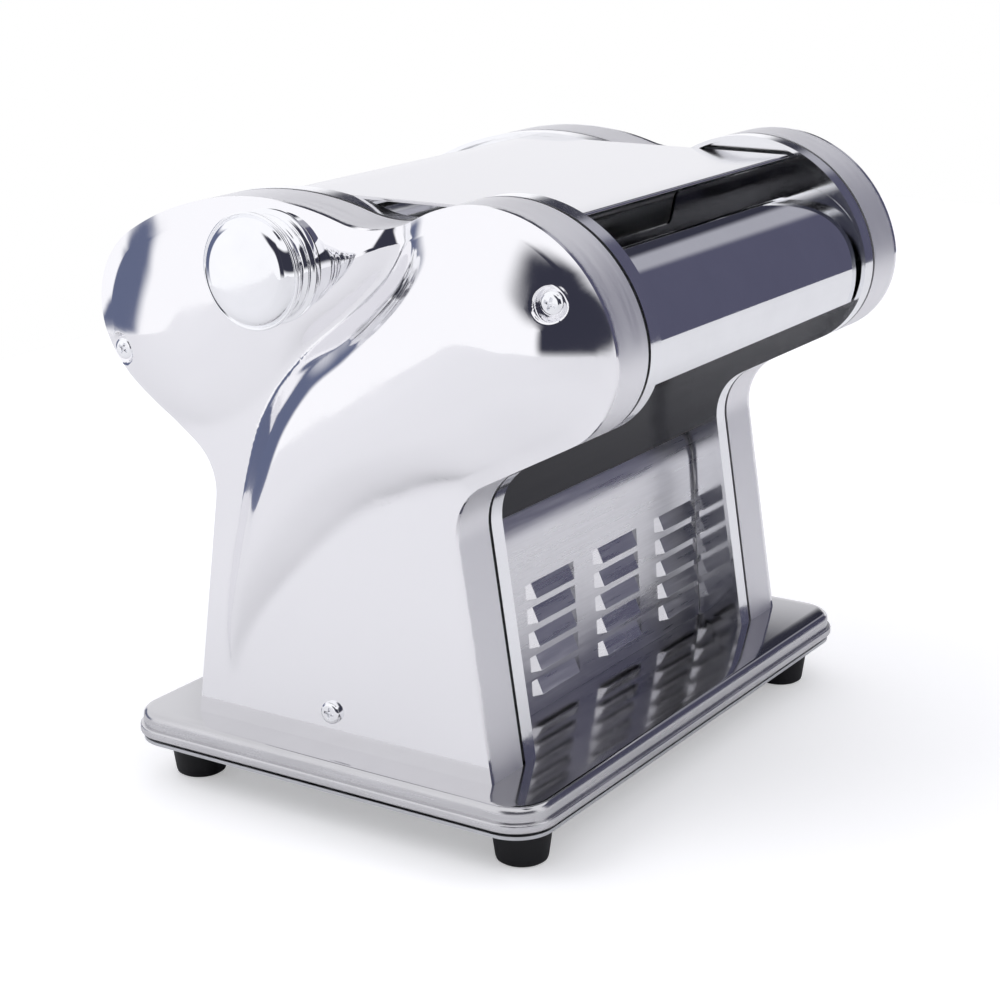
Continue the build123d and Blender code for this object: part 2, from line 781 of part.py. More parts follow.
def bearing_bushes():
    """Bushes pressed into the end plates for the fixed shafts."""
    bushes = []
    for at in (fixed_roller_at, cutter_at, outer_cutter_at, shaft_at):
        bore = journal_radius + running_clearance
        bush = tube(at, bush_radius, bore, inner_half_span, bush_end_y)
        bushes += [bush, mirrored(bush)]
    return bushes


# ---------------------------------------------------------------- gears
def involute(angle):
    """Involute function."""
    return math.tan(angle) - angle


def gear_outline(teeth, module, phase):
    """Spur gear with involute flanks; phase is the direction of a tooth, in radians."""
    pitch = pitch_radius(teeth, module)
    base = pitch * math.cos(pressure_angle)
    tip = pitch + module
    root = pitch - 1.25 * module
    start = max(base, root)
    half_tooth = math.pi / (2 * teeth) - gear_backlash / (4 * pitch)

    def flank(radius, side, tooth_angle):
        lean = math.acos(min(1.0, base / radius))
        swing = half_tooth + involute(pressure_angle) - involute(lean)
        return polar(radius, math.degrees(tooth_angle + side * swing))

    edges = []
    step = 2 * math.pi / teeth
    for index in range(teeth):
        angle = phase + index * step
        rising = [flank(radius, -1, angle) for radius in (start, (start + tip) / 2, tip)]
        falling = [flank(radius, 1, angle) for radius in (tip, (start + tip) / 2, start)]
        next_start = flank(start, -1, angle + step)
        edges.append(ThreePointArc(*rising))
        edges.append(Line(rising[-1], falling[0]))
        edges.append(ThreePointArc(*falling))
        low_first = falling[-1].normalized() * root
        low_second = next_start.normalized() * root
        if start > root:
            edges.append(Line(falling[-1], low_first))
            edges.append(Line(low_first, low_second))
            edges.append(Line(low_second, next_start))
        else:
            edges.append(Line(falling[-1], next_start))
    return make_face(edges)


def meshing_phase(first, first_teeth, first_phase, second, second_teeth):
    """Phase that puts a tooth of the first gear in a gap of the second."""
    line = second - first
    direction = math.atan2(line.Y, line.X)
    share = (direction - first_phase) * first_teeth / (2 * math.pi)
    share -= math.floor(share)
    return direction + math.pi - (0.5 - share) * 2 * math.pi / second_teeth


def gear(at, teeth, module, phase, start, width, bore, holes=0):
    """Spur gear on its shaft, with lightening holes in a large one."""
    outline = gear_outline(teeth, module, phase) - Circle(bore)
    pitch = pitch_radius(teeth, module)
    for index in range(holes):
        hole = polar(pitch * gear_hole_orbit, index * 360 / holes)
        outline -= Pos(hole.X, hole.Y) * Circle(pitch * gear_hole_size)
    return prism(Pos(at.X, at.Y) * outline, start, start + width)


def train_gear(at, teeth, phase, bore, holes=0):
    """Gear of the drive train, behind the far cover."""
    return gear(at, teeth, train_module, phase, train_gear_start, train_gear_width, bore, holes)


def pair_gear(at, module, phase):
    """One of the two equal gears that turn a pair of rollers against each other."""
    return gear(at, pair_teeth, module, phase, pair_gear_start, pair_gear_width, journal_radius)


# ---------------------------------------------------------------- rollers
def plain_roller(at, near_end, far_end):
    """Smooth roller with turned down journals."""
    body = disc(at, roller_radius, -roller_half_length, roller_half_length)
    return body + disc(at, journal_radius, -near_end, far_end)


def cutter_roller(at, near_end, far_end, shift):
    """Roller with ring grooves; the other roller's discs run in them."""
    roller = disc(at, cutter_radius, -roller_half_length, roller_half_length)
    root = cutter_radius - noodle_groove_depth
    pitch = 2 * noodle_width
    groove_width = noodle_width + 2 * disc_side_play
    count = int(2 * roller_half_length / pitch)
    for index in range(-count // 2 - 1, count // 2 + 2):
        middle = index * pitch + shift
        low = max(middle - groove_width / 2, -roller_half_length)
        high = min(middle + groove_width / 2, roller_half_length)
        if high - low > noodle_width / 4:
            roller -= tube(at, cutter_radius + 1, root, low, high)
    return roller + disc(at, journal_radius, -near_end, far_end)


# ---------------------------------------------------------------- roller gap adjustment
def far_carriage():
    """Bearing block of the movable roller and the yoke that the cam moves."""
    cam_centre = shaft_at + Vector(cam_throw, 0)
    block_end = Pos(moving_roller_at.X, moving_roller_at.Y) * Circle(block_half_height + block_rim)
    yoke_end = Pos(cam_centre.X, cam_centre.Y) * Circle(cam_radius + yoke_rim)
    plate = make_hull((block_end + yoke_end).edges())
    slot_width = 2 * (cam_radius + yoke_play)
    slot_height = 2 * (cam_radius + cam_throw + yoke_play)
    yoke_slot = Pos(cam_centre.X, cam_centre.Y) * Rectangle(slot_width, slot_height)
    clearance_radius = bush_radius + bush_room
    clear_end = fixed_roller_at + Vector(roller_gap_travel, 0)
    clearance = Pos(fixed_roller_at.X, fixed_roller_at.Y) * Circle(clearance_radius)
    clearance += Pos(clear_end.X, clear_end.Y) * Circle(clearance_radius)
    plate = plate - yoke_slot - make_hull(clearance.edges())
    carriage = prism(plate, carriage_start, carriage_end_y)
    block = Pos(moving_roller_at.X, moving_roller_at.Y) * Rectangle(
        2 * block_half_width, 2 * block_half_height
    )
    carriage += prism(block, inner_half_span, carriage_start)
    carriage -= disc(moving_roller_at, bush_radius - 1, inner_half_span, carriage_end_y)
    return carriage.solids().sort_by(SortBy.VOLUME)[-1]


def carriage_bushes():
    """Bushes pressed into the sliding blocks."""
    bore = journal_radius + running_clearance
    bush = tube(moving_roller_at, bush_radius - 1, bore, inner_half_span, carriage_end_y)
    return [bush, mirrored(bush)]


def adjusting_shaft():
    """Shaft from end to end, with a flat where the knob slides on it."""
    flat_start = knob_base - air_gap
    shaft = disc(shaft_at, shaft_radius, -shaft_end, carriage_end_y + 1)
    cut = Pos(shaft_at.X, shaft_at.Y + shaft_flat) * Rectangle(
        4 * shaft_radius, 2 * shaft_radius, align=(Align.CENTER, Align.MIN)
    )
    return shaft - prism(cut, -shaft_end, -flat_start)


def cams():
    """Eccentric discs that work in the carriages' yokes."""
    ends = (carriage_start, carriage_end_y)
    centre = shaft_at + Vector(cam_throw, 0)
    cam = disc(centre, cam_radius, *ends) - disc(shaft_at, shaft_radius, *ends)
    return [cam, mirrored(cam)]


def spring_retainer():
    """Washer at the shaft's end that holds the spring in the knob."""
    start = shaft_end - retainer_thickness
    washer = disc(shaft_at, spring_radius + retainer_rim, -shaft_end, -start)
    lid = Pos(0, shaft_flat) * Rectangle(4 * shaft_radius, 2 * shaft_radius, align=(Align.CENTER, Align.MIN))
    bore = Pos(shaft_at.X, shaft_at.Y) * (Circle(shaft_radius) - lid)
    return washer - prism(bore, -shaft_end, -start)


def knob_spring():
    """Coil spring that pulls the knob home."""
    low = knob_base + knob_floor + spring_wire / 2 + spring_seat_gap
    high = shaft_end - retainer_thickness - spring_wire / 2 - spring_seat_gap
    pitch = (high - low) / spring_turns
    helix = Helix(pitch, high - low, spring_radius)
    wire = Plane(origin=helix @ 0, z_dir=helix % 0) * Circle(spring_wire / 2)
    coil = sweep(wire, path=helix, is_frenet=True)
    return Pos(shaft_at.X, -low, shaft_at.Y) * Rot(90, 0, 0) * coil


def knob():
    """Round turned knob: a skirt, a hub that slides on the flat, and a ridge."""
    floor_y = knob_base + knob_floor
    body = disc(shaft_at, knob_radius, -knob_front, -knob_base)
    body = fillet(body.edges().sort_by(Axis.Y)[0], knob_rounding)
    groove_y = knob_front - knob_groove_start
    groove_floor = knob_radius - knob_groove_depth
    body -= tube(shaft_at, knob_radius + 1, groove_floor, -groove_y, knob_groove_width - groove_y)
    body -= disc(shaft_at, knob_hub_radius - knob_hub_wall, -(knob_front - knob_wall), -floor_y)
    body -= disc(shaft_at, knob_radius - knob_bead, -knob_front, -(knob_front - knob_wall / 2))
    hollow_end = knob_front - 1.5 * knob_wall
    body -= tube(shaft_at, knob_radius - knob_wall, knob_hub_radius, -hollow_end, -knob_base)
    hub = disc(shaft_at, knob_hub_radius, -floor_y, -knob_base)
    web = tube(shaft_at, index_pin_orbit + pin_boss, knob_hub_radius - 1, -floor_y, -knob_base)
    body = body + hub + web
    bore = Circle(shaft_radius + running_clearance)
    lid = Pos(0, shaft_flat + running_clearance) * Rectangle(
        4 * shaft_radius, 2 * shaft_radius, align=(Align.CENTER, Align.MIN)
    )
    bore = Pos(shaft_at.X, shaft_at.Y) * (bore - lid)
    body -= prism(bore, -(knob_base + 2 * knob_floor), -knob_base)
    pin_at = shaft_at + polar(index_pin_orbit, 180)
    pin_end = knob_base - index_pin_depth
    return body + disc(pin_at, index_pin_radius, -(knob_base + knob_floor / 2), -pin_end)


def index_plate():
    """Ring on the near cover with a half turn groove that limits the knob."""
    end = knob_seat_y + index_plate_thickness
    plate = tube(shaft_at, index_plate_radius, shaft_radius + 1, -end, -knob_seat_y)
    half_width = index_pin_radius + air_gap
    centre = Pos(shaft_at.X, shaft_at.Y)
    ring = Circle(index_pin_orbit + half_width) - Circle(index_pin_orbit - half_width)
    lower_half = Rectangle(4 * index_plate_radius, 2 * index_plate_radius, align=(Align.CENTER, Align.MAX))
    groove = ring & lower_half
    for side in (-1, 1):
        groove += Pos(side * index_pin_orbit, 0) * Circle(half_width)
    return plate - prism(centre * groove, -end, -(end - index_pin_depth))


# ---------------------------------------------------------------- motor
def motor_stator():
    """Wound stator in its steel can."""
    return tube(motor_at, motor_radius, motor_radius - motor_wall, motor_near, motor_far)


def motor_bells():
    """Die cast end bells with the rotor's bearings in them."""
    bore = rotor_shaft_radius + running_clearance
    starts = (motor_near - bell_thickness, motor_far)
    return [tube(motor_at, motor_radius, bore, y, y + bell_thickness) for y in starts]


def motor_rotor():
    """Rotor core on its shaft."""
    core_radius = motor_radius - motor_wall - rotor_gap
    core = disc(motor_at, core_radius, motor_near + rotor_end_room, motor_far - rotor_end_room)
    return core + disc(motor_at, rotor_shaft_radius, fan_start, motor_far + bell_thickness)


def motor_fan():
    """Cooling fan on the near end of the rotor's shaft."""
    fan_end = fan_start + fan_width
    hub = tube(motor_at, fan_hub_radius, rotor_shaft_radius, fan_start, fan_end)
    plate = tube(motor_at, fan_radius, rotor_shaft_radius, fan_end - fan_sheet, fan_end)
    fan = hub + plate
    for index in range(fan_blades):
        blade = Pos(motor_at.X, motor_at.Y) * Rot(0, 0, index * 360 / fan_blades)
        align = (Align.MIN, Align.CENTER)
        profile = Pos(fan_blade_root, 0) * Rectangle(fan_radius - fan_blade_root, fan_sheet, align=align)
        fan += prism(blade * profile, fan_start, fan_end)
    return fan


def gearbox():
    """Closed reduction gearbox, screwed to the far end plate."""
    body = disc(motor_at, gearbox_radius, gearbox_start, inner_half_span)
    bore = journal_radius + running_clearance
    body -= disc(motor_at, bore, gearbox_start + output_bearing_depth, inner_half_span)
    return body - disc(motor_at, rotor_shaft_radius + running_clearance, gearbox_start, gearbox_start + 1)


def pinion_shaft(phase):
    """Slow shaft of the gearbox with the pinion cut on it."""
    start = gearbox_start + output_bearing_depth + air_gap
    shaft = disc(motor_at, journal_radius, start, train_gear_end + 1)
    return shaft + train_gear(motor_at, pinion_teeth, phase, journal_radius - 1)


def motor_cradle():
    """Bent bracket that holds the motor's near end up from the tray."""
    height = motor_at.Y - tray_top - motor_radius / 2
    web = Pos(0, tray_top) * Rectangle(cradle_width, height, align=(Align.CENTER, Align.MIN))
    web -= Pos(motor_at.X, motor_at.Y) * Circle(motor_radius)
    start = motor_near + cradle_inset
    cradle = prism(web, start, start + cradle_sheet)
    flange = Pos(0, tray_top) * Rectangle(cradle_width, cradle_sheet, align=(Align.CENTER, Align.MIN))
    return cradle + prism(flange, start, start + cradle_foot)


def capacitor():
    """Run capacitor of the motor, lying on the tray."""
    at = Vector(capacitor_x, tray_top + capacitor_radius)
    body = disc(at, capacitor_radius, *capacitor_ends)
    for side in (-terminal_spread, terminal_spread):
        terminal = Vector(at.X + side, at.Y)
        body += disc(terminal, terminal_radius, capacitor_ends[1], capacitor_ends[1] + terminal_length)
    return body


# ---------------------------------------------------------------- switch and inlet
def switch_housing():
    """Frame and body of the rocker switch."""
    place = controls_frame(switch_y)
    frame = extrude(place * Rectangle(*switch_frame), switch_flange)
    body = extrude(place * Rectangle(*switch_opening), -switch_depth)
    pocket = Rectangle(*[size - 2 * switch_wall for size in switch_opening])
    pocket_cut = extrude(place.offset(switch_flange) * pocket, -(switch_depth * switch_pocket_share))
    bore = rocker_pin(rocker_pin_radius + running_clearance, rocker_pin_reach + running_clearance)
    return frame + body - pocket_cut - bore


def rocker_pin(radius, reach):
    """Pin that the rocker turns on, reaching into the housing's walls."""
    length = switch_opening[1] - 2 * switch_wall + 2 * reach
    return controls_frame(switch_y).location * Rot(90, 0, 0) * Cylinder(radius, length)


def switch_rocker():
    """Rocker on its pin, tipped to its off side."""
    half = switch_opening[0] / 2 - switch_wall - air_gap
    thickness = switch_opening[1] - 2 * (switch_wall + air_gap)
    top = half - rocker_top_inset
    low = top - rocker_taper
    profile = Polyline(
        (-top, rocker_rise),
        (0, rocker_valley),
        (top, rocker_rise),
        (low, -rocker_drop),
        (-low, -rocker_drop),
        close=True,
    )
    rocker = extrude(Plane.XZ * make_face(profile), thickness / 2, both=True)
    tipped = controls_frame(switch_y).location * Rot(0, rocker_swing, 0) * rocker
    return tipped + rocker_pin(rocker_pin_radius, rocker_pin_reach)


def power_inlet():
    """Three pin appliance inlet, set in the left-hand panel."""
    place = controls_frame(inlet_y)
    frame = extrude(place * Rectangle(*inlet_frame), inlet_flange)
    body = extrude(place * Rectangle(*inlet_body), -inlet_depth)
    inlet = frame + body
    floor = inlet_depth - inlet_back
    inlet -= extrude(place.offset(inlet_flange) * Rectangle(*inlet_socket), -(inlet_flange + floor))
    pin_root = floor + inlet_back / 2
    for x, y in inlet_pins:
        pin = Pos(x, y) * Rectangle(*inlet_pin)
        inlet += extrude(place.offset(-pin_root) * pin, pin_root - inlet_pin_drop)
    return inlet


# ---------------------------------------------------------------- assembly
def build_parts():
    """Every piece of the machine by the name of its node."""
    roller_phase = 0.0
    fixed_gear = (fixed_roller_at, roller_gear_teeth, roller_phase)
    idler_phase = meshing_phase(*fixed_gear, idler_at, idler_teeth)
    idler = (idler_at, idler_teeth, idler_phase)
    cutter_phase = meshing_phase(*idler, cutter_at, cutter_gear_teeth)
    pinion_phase = meshing_phase(*idler, motor_at, pinion_teeth)
    moving_phase = meshing_phase(fixed_roller_at, pair_teeth, 0.0, moving_roller_at, pair_teeth)
    outer_phase = meshing_phase(cutter_at, pair_teeth, 0.0, outer_cutter_at, pair_teeth)
    bush_tip = bush_end_y + air_gap
    carriage_tip = carriage_end_y + air_gap
    parts = {
        "base_tray": base_tray(),
        "base_plate": base_plate(),
        "foot_near_left": foot(-foot_x, -foot_y),
        "foot_near_right": foot(foot_x, -foot_y),
        "foot_far_left": foot(-foot_x, foot_y),
        "foot_far_right": foot(foot_x, foot_y),
        "foot_screws": foot_screws(),
        "near_end_plate": mirrored(end_plate()),
        "far_end_plate": far_end_plate(),
        "cover_seals": cover_seals(),
        "near_cover": near_cover(),
        "far_cover": far_cover(),
        "cover_screws": cover_screws(),
        "cover_standoffs": cover_standoffs(),
        "louvred_panel": louvred(side_panel(), louvre_columns),
        "left_panel": left_panel(),
        "noodle_deflector": deflector(),
        "sheet_deflector": mirror(deflector(), about=Plane.YZ),
        "top_plate": top_plate(),
        "chute_wall": chute_wall(),
        "cutter_guard": cutter_guard(),
        "roller_guard": roller_guard(),
        "fixed_roller_scraper": fixed_roller_scraper(),
        "cutter_combs": cutter_combs(),
        "tie_rods": tie_rods(),
        "tie_rod_nuts": tie_rod_nuts(),
        "bearing_bushes": bearing_bushes(),
        "idler_stud": disc(idler_at, journal_radius, inner_half_span, train_gear_end + 1),
        "index_plate": index_plate(),
        "motor_stator": motor_stator(),
        "motor_bells": motor_bells(),
        "motor_cradle": motor_cradle(),
        "gearbox": gearbox(),
        "run_capacitor": capacitor(),
        "switch_housing": switch_housing(),
        "power_inlet": power_inlet(),
        "fixed_roller": plain_roller(fixed_roller_at, bush_tip, train_gear_end),
        "fixed_roller_gear": train_gear(*fixed_gear, journal_radius, 5),
        "fixed_pair_gear": pair_gear(fixed_roller_at, roller_pair_module, 0.0),
        "moving_roller": plain_roller(moving_roller_at, carriage_tip, pair_gear_end),
        "moving_pair_gear": pair_gear(moving_roller_at, roller_pair_module, moving_phase),
        "near_carriage": mirrored(far_carriage()),
        "far_carriage": far_carriage(),
        "carriage_bushes": carriage_bushes(),
        "moving_roller_scraper": moving_roller_scraper(),
        "inner_cutter": cutter_roller(cutter_at, bush_tip, train_gear_end, noodle_width),
        "cutter_gear": train_gear(cutter_at, cutter_gear_teeth, cutter_phase, journal_radius, 5),
        "inner_cutter_pair_gear": pair_gear(cutter_at, cutter_pair_module, 0.0),
        "outer_cutter": cutter_roller(outer_cutter_at, bush_tip, pair_gear_end, 0.0),
        "outer_cutter_pair_gear": pair_gear(outer_cutter_at, cutter_pair_module, outer_phase),
        "idler_gear": train_gear(*idler, journal_radius + running_clearance, 5),
        "pinion_shaft": pinion_shaft(pinion_phase),
        "motor_rotor": motor_rotor(),
        "motor_fan": motor_fan(),
        "adjusting_shaft": adjusting_shaft(),
        "cams": cams(),
        "spring_retainer": spring_retainer(),
        "knob_spring": knob_spring(),
        "knob": knob(),
        "switch_rocker": switch_rocker(),
    }
    return parts


def main():
    os.makedirs("parts", exist_ok=True)
    for name, shape in build_parts().items():
        solid = Compound(children=shape) if isinstance(shape, list) else shape
        export_step(solid, os.path.join("parts", name + ".step"))


main()
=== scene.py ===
"""Electric pasta maker in polished steel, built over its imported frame. Metres, +Z up."""

import json
import math

import bmesh
import bpy
from bpy.props import FloatProperty, FloatVectorProperty, IntProperty, PointerProperty
from mathutils import Matrix, Vector
from mathutils.kdtree import KDTree


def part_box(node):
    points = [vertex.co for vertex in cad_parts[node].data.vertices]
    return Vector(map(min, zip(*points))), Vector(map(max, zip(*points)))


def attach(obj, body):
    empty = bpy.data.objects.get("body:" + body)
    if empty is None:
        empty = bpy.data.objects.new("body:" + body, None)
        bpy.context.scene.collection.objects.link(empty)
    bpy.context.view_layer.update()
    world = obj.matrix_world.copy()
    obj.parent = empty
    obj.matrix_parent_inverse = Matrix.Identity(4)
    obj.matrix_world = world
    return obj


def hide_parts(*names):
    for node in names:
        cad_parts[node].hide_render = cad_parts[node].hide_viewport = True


bl_info = {
    "name": "Pasta Maker",
    "version": (1, 0, 0),
    "blender": (4, 5, 0),
    "location": "View3D > Sidebar > Pasta Maker",
    "description": "Builds the shown pieces and finishes of an electric pasta maker",
    "category": "Add Mesh",
}

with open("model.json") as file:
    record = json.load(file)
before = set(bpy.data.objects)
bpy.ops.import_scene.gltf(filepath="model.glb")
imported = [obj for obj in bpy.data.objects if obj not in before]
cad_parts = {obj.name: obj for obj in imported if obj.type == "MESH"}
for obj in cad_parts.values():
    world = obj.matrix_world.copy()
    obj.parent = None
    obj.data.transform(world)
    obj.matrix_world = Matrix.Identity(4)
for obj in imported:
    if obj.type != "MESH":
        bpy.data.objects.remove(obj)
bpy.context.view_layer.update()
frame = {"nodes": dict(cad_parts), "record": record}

HOUSING = "housing"
MM = 0.001
TINY = 1e-6


# ---------------------------------------------------------------- sizes and finishes
class CasingSizes(bpy.types.PropertyGroup):
    """The two pressed casings and the end plates behind them."""

    foot_half_width: FloatProperty(
        name="Foot half width",
        description="Half the width of a casing on the tray",
        default=0.062,
        unit="LENGTH",
    )
    foot_height: FloatProperty(
        name="Foot height", description="Height of the tray's top", default=0.0266, unit="LENGTH"
    )
    start: FloatProperty(
        name="Start",
        description="Distance of a casing's open edge from the middle",
        default=0.0831,
        unit="LENGTH",
    )
    depth: FloatProperty(name="Depth", description="Depth of a casing's skirt", default=0.0189, unit="LENGTH")
    crease: FloatProperty(
        name="Crease", description="Rounding between skirt and face", default=0.0045, unit="LENGTH"
    )
    wall: FloatProperty(
        name="Wall", description="Thickness of the pressed sheet", default=0.001, unit="LENGTH"
    )
    crescent_height: FloatProperty(
        name="Crescent", description="Height of the pressed crescent", default=0.0125, unit="LENGTH"
    )
    dome_height: FloatProperty(
        name="Dome", description="Height of the dome that carries the knob", default=0.007, unit="LENGTH"
    )
    plate_edge: FloatProperty(
        name="Plate edge", description="Where the end plates' turned rims start", default=0.075, unit="LENGTH"
    )
    plate_face: FloatProperty(
        name="Plate face", description="Outer face of the end plates", default=0.0815, unit="LENGTH"
    )
    plate_wall: FloatProperty(
        name="Plate wall", description="Thickness of the end plates", default=0.0015, unit="LENGTH"
    )
    step: FloatProperty(
        name="Step", description="Length of the outline's straight pieces", default=0.0022, unit="LENGTH"
    )
    rings: IntProperty(name="Rings", description="Rings of faces across a casing's face", default=66)


class KnobSizes(bpy.types.PropertyGroup):
    """The turned knob of the roller gap."""

    front: FloatProperty(
        name="Front", description="Distance of its face from the middle", default=0.130, unit="LENGTH"
    )
    base: FloatProperty(
        name="Base", description="Distance of its back from the middle", default=0.112, unit="LENGTH"
    )
    radius: FloatProperty(name="Radius", description="Radius of the bead", default=0.019, unit="LENGTH")
    shaft_x: FloatProperty(name="Shaft X", description="Place of the shaft", default=-0.010, unit="LENGTH")
    shaft_z: FloatProperty(name="Shaft Z", description="Height of the shaft", default=0.194, unit="LENGTH")


class SheetSizes(bpy.types.PropertyGroup):
    """Panels, guards, deflectors and the top plate between the end plates."""

    half_span: FloatProperty(
        name="Half span", description="Half the distance between the end plates", default=0.080, unit="LENGTH"
    )
    thickness: FloatProperty(
        name="Thickness", description="Thickness of the sheets", default=0.001, unit="LENGTH"
    )
    panel_foot: FloatProperty(
        name="Panel foot", description="X of the louvred panel on the tray", default=0.041, unit="LENGTH"
    )
    panel_top: FloatProperty(
        name="Panel top", description="X of the louvred panel at its fold", default=0.036, unit="LENGTH"
    )
    panel_top_z: FloatProperty(
        name="Panel height", description="Height of the panel's fold", default=0.101, unit="LENGTH"
    )
    louvre_length: FloatProperty(
        name="Louvre length", description="Length of one louvre", default=0.032, unit="LENGTH"
    )
    louvre_height: FloatProperty(
        name="Louvre height", description="Height of one hood", default=0.0055, unit="LENGTH"
    )
    louvre_depth: FloatProperty(
        name="Louvre depth", description="How far a hood stands out", default=0.0022, unit="LENGTH"
    )
    louvre_pitch: FloatProperty(
        name="Louvre pitch", description="Distance from hood to hood", default=0.0088, unit="LENGTH"
    )
    louvre_end: FloatProperty(
        name="Louvre end", description="Length of a hood's sloping end", default=0.0035, unit="LENGTH"
    )
    louvre_top_z: FloatProperty(
        name="Louvre top", description="Height of the highest louvre", default=0.0738, unit="LENGTH"
    )
    top_plate_z: FloatProperty(
        name="Top plate", description="Height of the top plate", default=0.211, unit="LENGTH"
    )
    guard_radius: FloatProperty(
        name="Guard radius", description="Radius of the guard over the cutters", default=0.029, unit="LENGTH"
    )


class BaseSizes(bpy.types.PropertyGroup):
    """The stepped tray and its feet."""

    half_width: FloatProperty(
        name="Half width", description="Half the width over the lip", default=0.0861, unit="LENGTH"
    )
    half_length: FloatProperty(
        name="Half length", description="Half the length over the lip", default=0.1165, unit="LENGTH"
    )
    lip_z: FloatProperty(name="Lip", description="Underside of the lip", default=0.0168, unit="LENGTH")
    lip_width: FloatProperty(name="Lip width", description="Width of the lip", default=0.003, unit="LENGTH")
    corner: FloatProperty(name="Corner", description="Corner radius of the lip", default=0.015, unit="LENGTH")
    step_z: FloatProperty(name="Step height", description="Height of the step", default=0.0212, unit="LENGTH")
    step_in: FloatProperty(name="Step in", description="Width of the step", default=0.0013, unit="LENGTH")
    top_z: FloatProperty(name="Top", description="Height of the tray's top", default=0.0266, unit="LENGTH")
    rounding: FloatProperty(
        name="Rounding", description="Rounding of the top edge", default=0.0026, unit="LENGTH"
    )
    foot_x: FloatProperty(
        name="Foot X", description="Distance of a foot from the middle", default=0.069, unit="LENGTH"
    )
    foot_y: FloatProperty(
        name="Foot Y", description="Distance of a foot from the middle", default=0.095, unit="LENGTH"
    )
    foot_height: FloatProperty(
        name="Foot height", description="Height of a rubber foot", default=0.0156, unit="LENGTH"
    )


class Finishes(bpy.types.PropertyGroup):
    """Colours and polish of the metals, rubber and plastics."""

    polished: FloatVectorProperty(
        name="Polished steel",
        description="Colour of the polished casings",
        subtype="COLOR",
        default=(0.93, 0.925, 0.94),
    )
    satin: FloatVectorProperty(
        name="Satin steel",
        description="Colour of the brushed sheets",
        subtype="COLOR",
        default=(0.84, 0.835, 0.855),
    )
    bright: FloatVectorProperty(
        name="Chrome",
        description="Colour of the chromed pieces",
        subtype="COLOR",
        default=(0.94, 0.945, 0.96),
    )
    # near black: the deflectors' own dark steel, with the shade under the guard painted into it
    dark: FloatVectorProperty(
        name="Dark steel",
        description="Colour of the deflectors",
        subtype="COLOR",
        default=(0.035, 0.035, 0.039),
    )
    rubber: FloatVectorProperty(
        name="Rubber",
        description="Colour of the feet and seals",
        subtype="COLOR",
        default=(0.012, 0.012, 0.014),
    )
    polish: FloatProperty(
        name="Polish",
        description="Roughness of the polished steel",
        default=0.07,
        min=0.0,
        max=1.0,
        subtype="FACTOR",
    )
    brush: FloatProperty(
        name="Brush",
        description="Roughness of the satin steel",
        default=0.30,
        min=0.0,
        max=1.0,
        subtype="FACTOR",
    )


class StageSizes(bpy.types.PropertyGroup):
    """The floor, the soft surroundings and the camera."""

    floor_size: FloatVectorProperty(
        name="Floor", description="Size of the table top", size=2, default=(1.7, 2.2), unit="LENGTH"
    )
    floor_shift: FloatVectorProperty(
        name="Floor shift", description="Middle of the table top", size=2, default=(0.25, 0.10), unit="LENGTH"
    )
    floor_colour: FloatVectorProperty(
        name="Floor colour", description="Colour of the floor", subtype="COLOR", default=(0.81, 0.81, 0.825)
    )
    surround: FloatProperty(name="Surround", description="Strength of the bright surroundings", default=1.06)
    shade_colour: FloatVectorProperty(
        name="Shade colour",
        description="Colour of the dark parts of the room",
        subtype="COLOR",
        default=(0.035, 0.036, 0.055),
    )
    lens: FloatProperty(name="Lens", description="Focal length of the camera in mm", default=81.17)


# ---------------------------------------------------------------- materials
WHITE = (1.0, 1.0, 1.0)
SMUDGES = {"scale": 38.0, "detail": 5.0, "roughness": 0.65}
GRAIN = {"scale": 420.0, "detail": 3.0, "roughness": 0.7}
ALONG_X = (0.05, 1.0, 1.0)
ALONG_Y = (1.0, 0.04, 1.0)
SKIRT_GRAIN = (0.06, 1.0, 0.06)
TRAY_GRAIN = (0.06, 0.04, 1.0)
FACE_FADE = (0.0026, 0.0004)
TRAY_TOP_FADE = (0.0252, 0.0262)
TOP_PLATE_FADE = (0.10, 0.12)
HAIRLINES = {"scale": 300.0, "stretch": (1.0, 1.0, 0.05), "detail": 3.0, "roughness": 0.7}


class NodeTree:
    """Node tree of a material or of the room, with short calls to fill it."""

    def __init__(self, tree):
        self.tree = tree
        self.tree.nodes.clear()

    def put(self, value, socket):
        """Links an output to a socket, or writes a number, vector or colour on it."""
        if isinstance(value, bpy.types.NodeSocket):
            self.tree.links.new(value, socket)
        elif socket.type == "RGBA":
            socket.default_value = (*value, 1.0)
        else:
            socket.default_value = value

    def node(self, kind, inputs=None, **settings):
        """A new node with its settings, and its inputs by name or number."""
        node = self.tree.nodes.new(kind)
        for key, value in settings.items():
            setattr(node, key, value)
        for key, value in (inputs or {}).items():
            self.put(value, node.inputs[key])
        return node

    def math(self, operation, *values):
        """A number worked out from one or two others."""
        return self.node("ShaderNodeMath", dict(enumerate(values)), operation=operation).outputs["Value"]

    def spread(self, value, low, high, from_low=0.3, from_high=0.7, smooth=False):
        """A number carried from one span to another."""
        inputs = {"Value": value, "From Min": from_low, "From Max": from_high, "To Min": low, "To Max": high}
        kind = "SMOOTHSTEP" if smooth else "LINEAR"
        return self.node("ShaderNodeMapRange", inputs, interpolation_type=kind).outputs["Result"]

    def blend(self, factor, first, second):
        """A number that passes from first to second."""
        return self.node("ShaderNodeMix", {0: factor, 2: first, 3: second}, data_type="FLOAT").outputs[0]

    def tint(self, factor, first, second):
        """A colour that passes from first to second."""
        return self.node("ShaderNodeMix", {0: factor, 6: first, 7: second}, data_type="RGBA").outputs[2]


